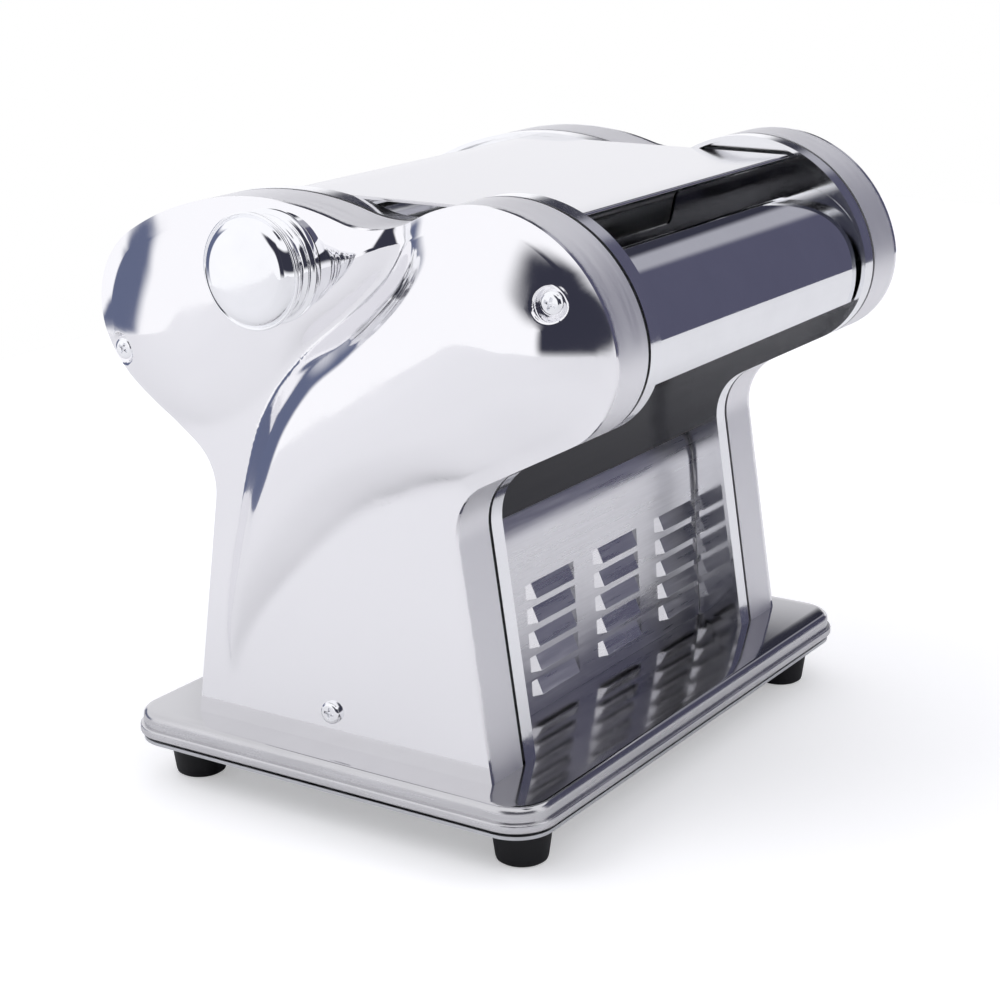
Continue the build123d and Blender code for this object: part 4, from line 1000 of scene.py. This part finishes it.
# ---------------------------------------------------------------- knob
# radius and distance behind the face, in mm, from the middle of the face to the back
KNOB_PROFILE = [
    (0.02, 0.0), (7.0, 0.02), (13.2, 0.08), (14.6, 0.35), (15.9, 1.05), (16.9, 2.05), (17.5, 3.1),
    (17.7, 3.5), (17.9, 3.3), (18.4, 3.0), (18.85, 3.2), (19.0, 3.7), (18.9, 4.2), (18.5, 4.45),
    (18.3, 4.7), (18.5, 4.95), (18.7, 5.2), (18.6, 5.5), (18.1, 5.7), (18.0, 5.9), (18.15, 6.2),
    (17.9, 6.6), (17.0, 7.2), (16.4, 8.0), (16.2, 9.0), (16.5, 10.0), (17.2, 10.7), (17.4, 11.0),
    (17.1, 11.3), (17.0, 11.8), (17.1, 12.6), (17.6, 13.0), (18.3, 13.2), (18.5, 13.6), (18.5, 15.4),
    (18.2, 15.9), (17.6, 16.1), (17.2, 16.5), (17.0, 18.0), (12.0, 18.0), (6.0, 18.0),
]


class PASTA_OT_knob(bpy.types.Operator):
    """Make the turned knob"""

    bl_idname = "pasta.knob"
    bl_label = "Knob"

    def execute(self, context):
        sizes = context.scene.pasta_knob
        wider = sizes.radius / max(radius for radius, _ in KNOB_PROFILE)
        longer = (sizes.front - sizes.base) / KNOB_PROFILE[-1][1]
        points = []
        for radius, behind in KNOB_PROFILE:
            points.append((sizes.shaft_x, behind * longer - sizes.front, sizes.shaft_z + radius * wider))
        bm = bmesh.new()
        spin_profile(bm, points, (sizes.shaft_x, 0, sizes.shaft_z), (0, 1, 0), 64)
        bmesh.ops.holes_fill(bm, edges=[edge for edge in bm.edges if edge.is_boundary], sides=0)
        piece = finish_piece("turned_knob", bm, "knob", ["knob"], "chrome", sharp=80.0)
        smooth = piece.modifiers.new("Turned", "SUBSURF")
        smooth.levels = 2
        smooth.render_levels = 2
        return {"FINISHED"}


# ---------------------------------------------------------------- base
TRAY_WALL = 0.0012
STEP_ROUNDING = 0.00055
HEM_ROUNDING = 0.0009
# radius and height of the rubber foot's outline up to its flange, from the recess outwards
RECESS_RADIUS = 0.0043
RECESS_Z = 0.0075
FOOT_PROFILE = [(RECESS_RADIUS, RECESS_Z), (RECESS_RADIUS, 0.0004), (0.0047, 0.0), (0.0078, 0.0)]
FOOT_PROFILE += [(0.0087, 0.0006), (0.0090, 0.0016), (0.0104, 0.0118), (0.0107, 0.0124), (0.0109, 0.0130)]


def rounded_plate(bm, half_width, half_length, z, corner):
    """Rectangle with rounded corners as one face."""
    place = Matrix.Translation((0, 0, z)) @ Matrix.Diagonal((half_width, half_length, 1, 1))
    bmesh.ops.create_grid(bm, x_segments=1, y_segments=1, size=1.0, matrix=place)
    bmesh.ops.bevel(
        bm,
        geom=bm.verts[:],
        offset=corner,
        offset_type="OFFSET",
        segments=14,
        profile=0.5,
        affect="VERTICES",
        material=-1,
    )
    return bm.faces[:][0]


def raise_face(bm, face, height):
    """Extrudes a face straight up and returns the raised one."""
    made = bmesh.ops.extrude_face_region(bm, geom=[face])["geom"]
    raised = only(made, bmesh.types.BMFace)[0]
    bmesh.ops.translate(bm, verts=raised.verts[:], vec=(0, 0, height))
    return raised


def level_edges(bm, z):
    """Edges between two faces that lie at a height."""
    level = [edge for edge in bm.edges if all(abs(vert.co.z - z) < TINY for vert in edge.verts)]
    return [edge for edge in level if len(edge.link_faces) == 2]


def tray(sizes):
    """Pressed tray with a lip, a stepped wall and a rounded top."""
    bm = bmesh.new()
    lip_top = sizes.lip_z + TRAY_WALL
    face = rounded_plate(bm, sizes.half_width, sizes.half_length, lip_top, sizes.corner)
    bmesh.ops.inset_region(bm, faces=[face], thickness=sizes.lip_width, use_even_offset=True)
    face = raise_face(bm, face, sizes.step_z - lip_top)
    bmesh.ops.inset_region(bm, faces=[face], thickness=sizes.step_in, use_even_offset=True)
    face = raise_face(bm, face, sizes.top_z - sizes.step_z)
    round_edges(bm, level_edges(bm, sizes.top_z), sizes.rounding, 7)
    round_edges(bm, level_edges(bm, sizes.step_z), STEP_ROUNDING, 3)
    round_edges(bm, level_edges(bm, lip_top), HEM_ROUNDING, 4)
    outward = ((0, 0, sizes.top_z), (0, 0, 1))
    piece = finish_piece("tray", bm, HOUSING, ["base_tray"], "brushed_steel", outward=outward, sharp=40.0)
    hollow(piece, TRAY_WALL)


def foot(name, node, x, y, sizes):
    """Tapered rubber foot with a recess below."""
    top_z = sizes.foot_height
    profile = FOOT_PROFILE + [(0.0109, top_z - 0.0005), (0.0105, top_z), (RECESS_RADIUS, top_z)]
    profile.append((RECESS_RADIUS, RECESS_Z))
    bm = bmesh.new()
    spin_profile(bm, [(x + radius, y, z) for radius, z in profile], (x, y, 0), (0, 0, 1), 56)
    finish_piece(name, bm, HOUSING, [node], "black_rubber", sharp=40.0)


class PASTA_OT_base(bpy.types.Operator):
    """Make the tray and its four feet"""

    bl_idname = "pasta.base"
    bl_label = "Base"

    def execute(self, context):
        sizes = context.scene.pasta_base
        tray(sizes)
        for end, y in (("near", -sizes.foot_y), ("far", sizes.foot_y)):
            for side, x in (("left", -sizes.foot_x), ("right", sizes.foot_x)):
                foot(f"rubber_foot_{end}_{side}", f"foot_{end}_{side}", x, y, sizes)
        return {"FINISHED"}


# ---------------------------------------------------------------- sheets between the ends
SHEET_EDGE = 0.0003
GUARD_STEPS = 44
GUARD_LIP_BEND = 0.0012
GUARD_LIP_ANGLE = math.radians(115)
GUARD_LIP = (-0.0040, 0, -0.0019)
CUTTER_GUARD = (Vector((0.0771, 0.171)), math.radians(-23), math.radians(75))
ROLLER_GUARD = (Vector((-0.067, 0.171)), math.radians(112), math.radians(208))
ROLLER_GUARD_RADIUS = 0.028
TOP_HALF_LENGTH = 0.075
TOP_START_X = -0.0355
TOP_LEFT_DROP = 0.005
TOP_LEFT_BEND = 0.0015
TOP_RIGHT_BEND = 0.0012
TOP_END_X = 0.0774
TOP_PIECES = 12


def sheet_start(bm, x, z, half_span):
    """One edge from end plate to end plate."""
    vert = bm.verts.new((x, -half_span, z))
    made = bmesh.ops.extrude_vert_indiv(bm, verts=[vert])
    bmesh.ops.translate(bm, verts=made["verts"], vec=(0, 2 * half_span, 0))
    return made["edges"]


def sheet_turn(bm, edges, centre, angle, steps):
    """Carries a sheet on round a bend, anticlockwise seen from the knob end."""
    made = bmesh.ops.spin(
        bm,
        geom=edges + loop_verts(edges),
        cent=(centre[0], 0, centre[1]),
        axis=(0, -1, 0),
        dvec=(0, 0, 0),
        angle=angle,
        steps=steps,
        use_merge=False,
    )
    return only(made["geom_last"], bmesh.types.BMEdge)


def on_circle(centre, radius, angle):
    """Point of a circle in X and Z."""
    return centre + Vector((math.cos(angle), math.sin(angle))) * radius


def guard(name, node, sizes, arc, radius, lip):
    """Round chromed guard over a roller, with a turned lip at its end if it has one."""
    centre, first, last = arc
    bm = bmesh.new()
    edges = sheet_start(bm, *on_circle(centre, radius, first), sizes.half_span)
    edges = sheet_turn(bm, edges, centre, last - first, GUARD_STEPS)
    if lip:
        bend_centre = on_circle(centre, radius - GUARD_LIP_BEND, last)
        edges = sheet_turn(bm, edges, bend_centre, GUARD_LIP_ANGLE - last, 5)
        extrude_loop(bm, edges, GUARD_LIP)
    side = math.copysign(1.0, centre.x)
    outward = ((centre.x + side * radius, 0, centre.y), (side, 0, 0))
    piece = finish_piece(name, bm, HOUSING, [node], "chrome", outward=outward, wall=sizes.thickness)
    soften_edges(piece, SHEET_EDGE)


class PASTA_OT_guards(bpy.types.Operator):
    """Make the guards over the cutters and the rollers"""

    bl_idname = "pasta.guards"
    bl_label = "Guards"

    def execute(self, context):
        sizes = context.scene.pasta_sheets
        guard("chrome_guard", "cutter_guard", sizes, CUTTER_GUARD, sizes.guard_radius, lip=True)
        guard("left_guard", "roller_guard", sizes, ROLLER_GUARD, ROLLER_GUARD_RADIUS, lip=False)
        return {"FINISHED"}


class PASTA_OT_top_plate(bpy.types.Operator):
    """Make the brushed top plate"""

    bl_idname = "pasta.top_plate"
    bl_label = "Top Plate"

    def execute(self, context):
        sizes = context.scene.pasta_sheets
        top_z = sizes.top_plate_z
        left_x, right_x = TOP_START_X + TOP_LEFT_BEND, TOP_END_X - TOP_RIGHT_BEND
        bm = bmesh.new()
        edges = sheet_start(bm, TOP_START_X, top_z - TOP_LEFT_DROP, TOP_HALF_LENGTH)
        edges = extrude_loop(bm, edges, (0, 0, TOP_LEFT_DROP - TOP_LEFT_BEND))
        edges = sheet_turn(bm, edges, (left_x, top_z - TOP_LEFT_BEND), -math.pi / 2, 5)
        for _ in range(TOP_PIECES):
            edges = extrude_loop(bm, edges, ((right_x - left_x) / TOP_PIECES, 0, 0))
        sheet_turn(bm, edges, (right_x, top_z - TOP_RIGHT_BEND), -math.radians(70), 4)
        look = {"outward": ((0.02, 0, top_z), (0, 0, 1)), "sharp": 40.0, "wall": sizes.thickness}
        piece = finish_piece("brushed_top", bm, HOUSING, ["top_plate"], "brushed_steel", **look)
        soften_edges(piece, SHEET_EDGE)
        return {"FINISHED"}


# ---------------------------------------------------------------- panels
PANEL_FOOT_Z = 0.0266
PANEL_PLAY = 0.0002
PANEL_BEND = math.radians(24)
PANEL_BEND_RADIUS = 0.022
PANEL_FOLD = 0.003
PANEL_EDGE = 0.0002
LOUVRE_COLUMNS = [-0.027, 0.0183, 0.0636]
LOUVRE_ROWS = 5
OPENING_Z = 0.046
OPENINGS = [("switch_housing", 0.00965, 0.0066), ("power_inlet", 0.01315, 0.00915)]


class PanelFrame:
    """Foot of a leaning panel, its direction up the sheet and its direction outwards."""

    def __init__(self, sizes):
        self.foot = Vector((sizes.panel_foot, 0, PANEL_FOOT_Z))
        self.up = (Vector((sizes.panel_top, 0, sizes.panel_top_z)) - self.foot).normalized()
        self.out = Vector((self.up.z, 0, -self.up.x))

    def climb(self, z):
        """Distance up the sheet at a height."""
        return (z - self.foot.z) / self.up.z

    def along(self, place):
        """Distance of a point up the sheet."""
        return (place - self.foot).dot(self.up)


def fold_panel(bm, sizes, lean):
    """Flat sheet that bends inwards near its top and ends in a fold."""
    foot, up, out = lean.foot, lean.up, lean.out
    edges = sheet_start(bm, foot.x, foot.z, sizes.half_span - PANEL_PLAY)
    bent = PANEL_BEND_RADIUS * math.sin(PANEL_BEND) * 0.9
    flat = lean.climb(sizes.panel_top_z) - PANEL_FOLD - bent
    edges = extrude_loop(bm, edges, up * flat)
    centre = foot + up * flat - out * PANEL_BEND_RADIUS
    edges = sheet_turn(bm, edges, (centre.x, centre.z), PANEL_BEND, 8)
    corner = sum((vert.co for vert in loop_verts(edges)), Vector()) / 2
    tilt = PANEL_BEND - math.atan2(-up.x, up.z)
    centre = corner - Vector((math.cos(tilt), 0, math.sin(tilt))) * PANEL_FOLD
    edges = sheet_turn(bm, edges, (centre.x, centre.z), math.pi / 2 - tilt, 8)
    extrude_loop(bm, edges, (-PANEL_FOLD, 0, 0))


def split_sheet(bm, point, normal):
    """Cuts the sheet's faces along a plane."""
    geom = bm.verts[:] + bm.edges[:] + bm.faces[:]
    bmesh.ops.bisect_plane(bm, geom=geom, plane_co=point, plane_no=normal, dist=1e-7)


def split_panel(bm, lean, across, levels):
    """Cuts the sheet across at some places along the rollers and at some distances up it."""
    for y in across:
        split_sheet(bm, (0, y, 0), (0, 1, 0))
    for level in levels:
        split_sheet(bm, lean.foot + lean.up * level, lean.up)


def cut_openings(bm, lean, openings):
    """Takes out the faces where the switch and the inlet go through."""
    gone = []
    for y, z, half_y, half_z in openings:
        level = lean.climb(z)
        for face in bm.faces:
            middle = face.calc_center_median()
            if abs(middle.y - y) < half_y and abs(lean.along(middle) - level) < half_z:
                gone.append(face)
    bmesh.ops.delete(bm, geom=gone, context="FACES")


def press_louvres(bm, sizes, lean, hoods):
    """Slits the sheet under each louvre and presses the hood outwards."""
    half = sizes.louvre_length / 2
    height = sizes.louvre_height / lean.up.z
    slits = []
    for edge in bm.edges:
        levels = [lean.along(vert.co) for vert in edge.verts]
        middle_y = (edge.verts[0].co.y + edge.verts[1].co.y) / 2
        for y, low in hoods:
            if all(abs(level - low) < TINY for level in levels) and abs(middle_y - y) < half:
                slits.append(edge)
    bmesh.ops.split_edges(bm, edges=slits)
    raised = set()
    for face in bm.faces:
        middle = face.calc_center_median()
        for y, low in hoods:
            if abs(middle.y - y) < half and low < lean.along(middle) < low + height:
                lip = [vert for vert in face.verts if abs(lean.along(vert.co) - low) < 10 * TINY]
                raised.update(vert for vert in lip if abs(vert.co.y - y) < half - PANEL_PLAY)
    bmesh.ops.translate(bm, verts=list(raised), vec=lean.out * sizes.louvre_depth)


def side_panel(name, node, side, sizes, columns, openings):
    """Leaning panel with a folded top and rows of louvres pressed out of it."""
    lean = PanelFrame(sizes)
    bm = bmesh.new()
    fold_panel(bm, sizes, lean)
    for y, z, half_y, half_z in openings:
        level = lean.climb(z)
        split_panel(bm, lean, (y - half_y, y + half_y), (level - half_z, level + half_z))
    half, end = sizes.louvre_length / 2, sizes.louvre_end
    for y in columns:
        split_panel(bm, lean, (y - half, y + end - half, y + half - end, y + half), ())
    tops = [sizes.louvre_top_z - row * sizes.louvre_pitch for row in range(LOUVRE_ROWS)]
    for z in tops:
        split_panel(bm, lean, (), (lean.climb(z), lean.climb(z - sizes.louvre_height)))
    cut_openings(bm, lean, openings)
    hoods = [(y, lean.climb(z - sizes.louvre_height)) for y in columns for z in tops]
    press_louvres(bm, sizes, lean, hoods)
    if side < 0:
        bmesh.ops.scale(bm, vec=(-1, 1, 1), verts=bm.verts[:])
    outward = ((side * sizes.panel_foot, 0.0, PANEL_FOOT_Z), (side, 0, 0))
    wall = sizes.thickness * 0.9
    piece = finish_piece(name, bm, HOUSING, [node], "satin_steel", outward=outward, sharp=16.0, wall=wall)
    soften_edges(piece, PANEL_EDGE)


class PASTA_OT_panels(bpy.types.Operator):
    """Make the louvred panel and the left panel"""

    bl_idname = "pasta.panels"
    bl_label = "Panels"

    def execute(self, context):
        sizes = context.scene.pasta_sheets
        side_panel("louvred_side", "louvred_panel", 1, sizes, LOUVRE_COLUMNS, [])
        openings = []
        for node, half_y, half_z in OPENINGS:
            low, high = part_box(node)
            openings.append(((low.y + high.y) / 2, OPENING_Z, half_y, half_z))
        side_panel("left_side", "left_panel", -1, sizes, LOUVRE_COLUMNS[1:], openings)
        return {"FINISHED"}


# ---------------------------------------------------------------- screws
CROSS_LENGTH = 0.0021
CROSS_WIDTH = 0.00048
CROSS_DEPTH = 0.0011
HEAD_HEIGHT = 0.0021
HEAD_FLAT_RADIUS = 0.0026
# radius and height above the seat of the head's side, and of the shank below it
HEAD_PROFILE = [(0.0033, 0.00195), (0.0038, 0.0015), (0.0040, 0.0008), (0.0040, 0.0)]
HEAD_PROFILE += [(0.0020, 0.0), (0.0020, -0.010)]
SCREW_TURNS = (0.5, 0.35, 0.15)


def cross_loop(bm, x, y, z, turn):
    """Cross shaped loop of edges for a screw's recess."""
    long, short = CROSS_LENGTH, CROSS_WIDTH
    points = [(short, long), (-short, long), (-short, short), (-long, short), (-long, -short)]
    points += [(-short, -short), (-short, -long), (short, -long), (short, -short), (long, -short)]
    points += [(long, short), (short, short)]
    before = set(bm.edges)
    first = vert = bm.verts.new((x + points[0][0], y, z + points[0][1]))
    for across, high in points[1:]:
        vert = line_to(bm, vert, (x + across, y, z + high))
    last = line_to(bm, vert, (x + points[0][0], y, z + points[0][1]))
    bmesh.ops.weld_verts(bm, targetmap={last: first})
    edges = [edge for edge in bm.edges if edge not in before]
    bmesh.ops.rotate(bm, cent=(x, y, z), matrix=Matrix.Rotation(turn, 3, "Y"), verts=loop_verts(edges))
    return edges


def screw_head(bm, x, z, seat_y, side, turn):
    """Pan head with a cross recess, on the face that looks outwards."""
    flat_y = seat_y + side * HEAD_HEIGHT
    rim = bore_loop(bm, x, flat_y, z, HEAD_FLAT_RADIUS, 32)
    cross = cross_loop(bm, x, flat_y, z, turn)
    bmesh.ops.triangle_fill(bm, use_beauty=True, use_dissolve=False, edges=rim + cross)
    floor = extrude_loop(bm, cross, (0, -side * CROSS_DEPTH, 0))
    place = Matrix.Translation((-x, 0, -z))
    bmesh.ops.scale(bm, vec=(0.7, 1, 0.7), space=place, verts=loop_verts(floor))
    bmesh.ops.contextual_create(bm, geom=floor)
    loop = rim
    for radius, out in HEAD_PROFILE:
        low = bore_loop(bm, x, seat_y + side * out, z, radius, 32)
        bridge(bm, loop, low)
        loop = low
    bmesh.ops.contextual_create(bm, geom=loop)


class PASTA_OT_screws(bpy.types.Operator):
    """Make the casing screws"""

    bl_idname = "pasta.screws"
    bl_label = "Screws"

    def execute(self, context):
        sizes = context.scene.pasta_casings
        face_y = sizes.start + sizes.depth
        bm = bmesh.new()
        for side in (-1, 1):
            for (x, z, seat), turn in zip(SCREW_PLACES, SCREW_TURNS):
                screw_head(bm, x, z, side * (face_y + seat), side, turn)
        finish_piece("casing_screws", bm, HOUSING, ["cover_screws"], "bright_steel", sharp=40.0)
        return {"FINISHED"}


# ---------------------------------------------------------------- finishes
class PASTA_OT_finishes(bpy.types.Operator):
    """Give every carried-over node the finish of its slot, and the chute wall near-black steel as painted
    shade
    """

    bl_idname = "pasta.finishes"
    bl_label = "Finishes"

    def execute(self, context):
        made = slot_materials(context.scene.pasta_finishes, context.scene.pasta_casings)
        slots = {part["node"]: part["material_slot"] for part in frame["record"]["subparts"]}
        for name, node in frame["nodes"].items():
            # the chute wall takes the near-black dark steel in place of its slot's finish: painted shade
            material = made["dark_steel" if name == "chute_wall" else slots[name]]
            for place in node.material_slots:
                place.material = material
            if not node.material_slots:
                raise RuntimeError(f"node {name} has no material slot to fill")
        return {"FINISHED"}


# ---------------------------------------------------------------- stage
# patches of the room in degrees: heading, spread, lowest, highest and softness of the edge
DIM_PATCHES = [
    ((92, 12, 14, 42, 3), (0.36, 0.36, 0.41)),
    ((57, 28, -12, 41, 3), (0.085, 0.085, 0.135)),
    ((180, 28, -14, 15, 5), (0.12, 0.14, 0.23)),
]
DARK_PATCHES = [
    (-76, 15, -10, 41, 4),
    (-90, 12, 11, 38, 6),
    (-34, 31, -3, 34, 4),
    (-5, 16, 56, 76, 4),
    (116, 16, 17, 34, 3),
]
ROOM_COLOUR = (0.97, 0.97, 1.0)
FLOOR_GLOW = 0.36
LAMPS = [("key", (-0.9, -1.2, 1.6), 9.0), ("fill", (1.4, 0.6, 1.5), 5.0)]
LAMP_SIZE = 1.2
LAMP_AIM = Vector((0, 0, 0.1))
CAMERA_PLACE = (0.43739, -0.66616, 0.33002)
CAMERA_RIGHT = Vector((0.8375, 0.5463, -0.0115))
CAMERA_BACK = Vector((0.5256, -0.7995, 0.2907))
SENSOR_WIDTH = 36.0


class Room(NodeTree):
    """The room around the object: bright walls with dim and dark patches between them."""

    def __init__(self):
        world = bpy.data.worlds.new("Studio")
        bpy.context.scene.world = world
        world.use_nodes = True
        super().__init__(world.node_tree)
        place = self.node("ShaderNodeTexCoord").outputs["Generated"]
        split = self.node("ShaderNodeSeparateXYZ", {"Vector": place})
        self.x, self.y, self.z = (split.outputs[axis] for axis in "XYZ")

    def ramp(self, angle, low, high):
        """0 below low and 1 above high, or the other way round; in degrees."""
        return self.spread(angle, 0.0, 1.0, math.radians(low), math.radians(high), smooth=True)

    def patch(self, heading, spread, low, high, soft):
        """1 in a patch of the room around a heading and between two heights, 0 elsewhere."""
        cosine, sine = math.cos(math.radians(heading)), math.sin(math.radians(heading))
        x_along, y_along = self.math("MULTIPLY", self.x, cosine), self.math("MULTIPLY", self.y, sine)
        x_aside, y_aside = self.math("MULTIPLY", self.x, sine), self.math("MULTIPLY", self.y, cosine)
        forward = self.math("ADD", x_along, y_along)
        aside = self.math("SUBTRACT", y_aside, x_aside)
        turn = self.math("ABSOLUTE", self.math("ARCTAN2", aside, forward))
        rise_angle = self.math("ARCSINE", self.z)
        across = self.ramp(turn, spread + soft, spread - soft)
        above = self.ramp(rise_angle, low - soft, low + soft)
        below = self.ramp(rise_angle, high + soft, high - soft)
        return self.math("MULTIPLY", across, self.math("MULTIPLY", above, below))

    def light(self, strength, patches):
        """Lays the coloured patches over the bright walls, and shows the camera plain white."""
        colour = ROOM_COLOUR
        for place, shade in patches:
            colour = self.tint(self.patch(*place), colour, shade)
        walls = self.node("ShaderNodeBackground", {"Color": colour, "Strength": strength})
        white = self.node("ShaderNodeBackground", {"Color": WHITE})
        seen = self.node("ShaderNodeLightPath").outputs["Is Camera Ray"]
        inputs = {0: seen, 1: walls.outputs["Background"], 2: white.outputs["Background"]}
        shown = self.node("ShaderNodeMixShader", inputs)
        self.node("ShaderNodeOutputWorld", {"Surface": shown.outputs["Shader"]})


def floor_material(colour):
    """Pale table top that the camera sees as white where no shadow falls."""
    nodes = Finish("pale_floor")
    nodes.paint(nodes.noise(3.0, detail=2.0), colour, 0.985, 1.01)
    nodes.give("Roughness", 0.75)
    nodes.give("Specular IOR Level", 0.1)
    plain = nodes.shader.outputs["BSDF"]
    glow = nodes.node("ShaderNodeEmission", {"Color": WHITE, "Strength": FLOOR_GLOW})
    lit = nodes.node("ShaderNodeAddShader", {0: plain, 1: glow.outputs["Emission"]})
    seen = nodes.node("ShaderNodeLightPath").outputs["Is Camera Ray"]
    shown = nodes.node("ShaderNodeMixShader", {0: seen, 1: plain, 2: lit.outputs["Shader"]})
    nodes.put(shown.outputs["Shader"], nodes.output.inputs["Surface"])
    return nodes.material


def table_top(settings):
    """Floor under the machine, as part of the stage."""
    bm = bmesh.new()
    bmesh.ops.create_grid(bm, x_segments=1, y_segments=1, size=0.5)
    bmesh.ops.scale(bm, vec=(*settings.floor_size, 1.0), verts=bm.verts[:])
    bmesh.ops.translate(bm, vec=(*settings.floor_shift, 0.0), verts=bm.verts[:])
    mesh = bpy.data.meshes.new("floor")
    bm.to_mesh(mesh)
    bm.free()
    mesh.materials.append(floor_material(settings.floor_colour))
    floor = bpy.data.objects.new("floor", mesh)
    bpy.context.scene.collection.objects.link(floor)


def lamp(name, place, power):
    """Soft lamp aimed at the machine, left out of reflections."""
    light = bpy.data.lights.new(name, "AREA")
    light.shape = "DISK"
    light.size = LAMP_SIZE
    light.energy = power
    lamp_object = bpy.data.objects.new(name, light)
    lamp_object.location = place
    lamp_object.rotation_euler = (LAMP_AIM - Vector(place)).to_track_quat("-Z", "Y").to_euler()
    lamp_object.visible_glossy = False
    bpy.context.scene.collection.objects.link(lamp_object)


def camera_view(lens):
    """Camera above the knob end's right corner."""
    camera = bpy.data.cameras.new("camera")
    camera.lens = lens
    camera.sensor_width = SENSOR_WIDTH
    camera.clip_start = 0.01
    view = bpy.data.objects.new("camera", camera)
    back = CAMERA_BACK.normalized()
    up = back.cross(CAMERA_RIGHT.normalized()).normalized()
    view.matrix_world = Matrix((up.cross(back), up, back)).transposed().to_4x4()
    view.location = CAMERA_PLACE
    bpy.context.scene.collection.objects.link(view)
    bpy.context.scene.camera = view


class PASTA_OT_stage(bpy.types.Operator):
    """Make the floor, the room, the lamps and the camera"""

    bl_idname = "pasta.stage"
    bl_label = "Stage"

    def execute(self, context):
        settings = context.scene.pasta_stage
        table_top(settings)
        dark = [(place, settings.shade_colour) for place in DARK_PATCHES]
        Room().light(settings.surround, DIM_PATCHES + dark)
        for name, place, power in LAMPS:
            lamp(name, place, power)
        camera_view(settings.lens)
        context.scene.view_settings.view_transform = "Standard"
        return {"FINISHED"}


# ---------------------------------------------------------------- add-on
class PASTA_PT_pieces(bpy.types.Panel):
    """Lists the pieces that the add-on makes"""

    bl_idname = "PASTA_PT_pieces"
    bl_label = "Pasta Maker"
    bl_space_type = "VIEW_3D"
    bl_region_type = "UI"
    bl_category = "Pasta Maker"

    def draw(self, context):
        for operator in OPERATORS:
            self.layout.operator(operator.bl_idname)


OPERATORS = (
    PASTA_OT_stage,
    PASTA_OT_finishes,
    PASTA_OT_casings,
    PASTA_OT_end_plates,
    PASTA_OT_knob,
    PASTA_OT_base,
    PASTA_OT_guards,
    PASTA_OT_top_plate,
    PASTA_OT_panels,
    PASTA_OT_screws,
)
GROUPS = {
    "pasta_casings": CasingSizes,
    "pasta_knob": KnobSizes,
    "pasta_sheets": SheetSizes,
    "pasta_base": BaseSizes,
    "pasta_finishes": Finishes,
    "pasta_stage": StageSizes,
}


def register():
    """Adds the settings, the operators and the panel."""
    for name, group in GROUPS.items():
        bpy.utils.register_class(group)
        setattr(bpy.types.Scene, name, PointerProperty(type=group))
    for item in (*OPERATORS, PASTA_PT_pieces):
        bpy.utils.register_class(item)


def unregister():
    """Takes the panel, the operators and the settings out again."""
    for item in reversed((*OPERATORS, PASTA_PT_pieces)):
        bpy.utils.unregister_class(item)
    for name, group in reversed(GROUPS.items()):
        delattr(bpy.types.Scene, name)
        bpy.utils.unregister_class(group)


def main():
    """Makes every piece over the frame."""
    register()
    bpy.ops.pasta.stage()
    bpy.ops.pasta.finishes()
    bpy.ops.pasta.casings()
    bpy.ops.pasta.end_plates()
    bpy.ops.pasta.knob()
    bpy.ops.pasta.base()
    bpy.ops.pasta.guards()
    bpy.ops.pasta.top_plate()
    bpy.ops.pasta.panels()
    bpy.ops.pasta.screws()


if __name__ == "__main__":
    main()
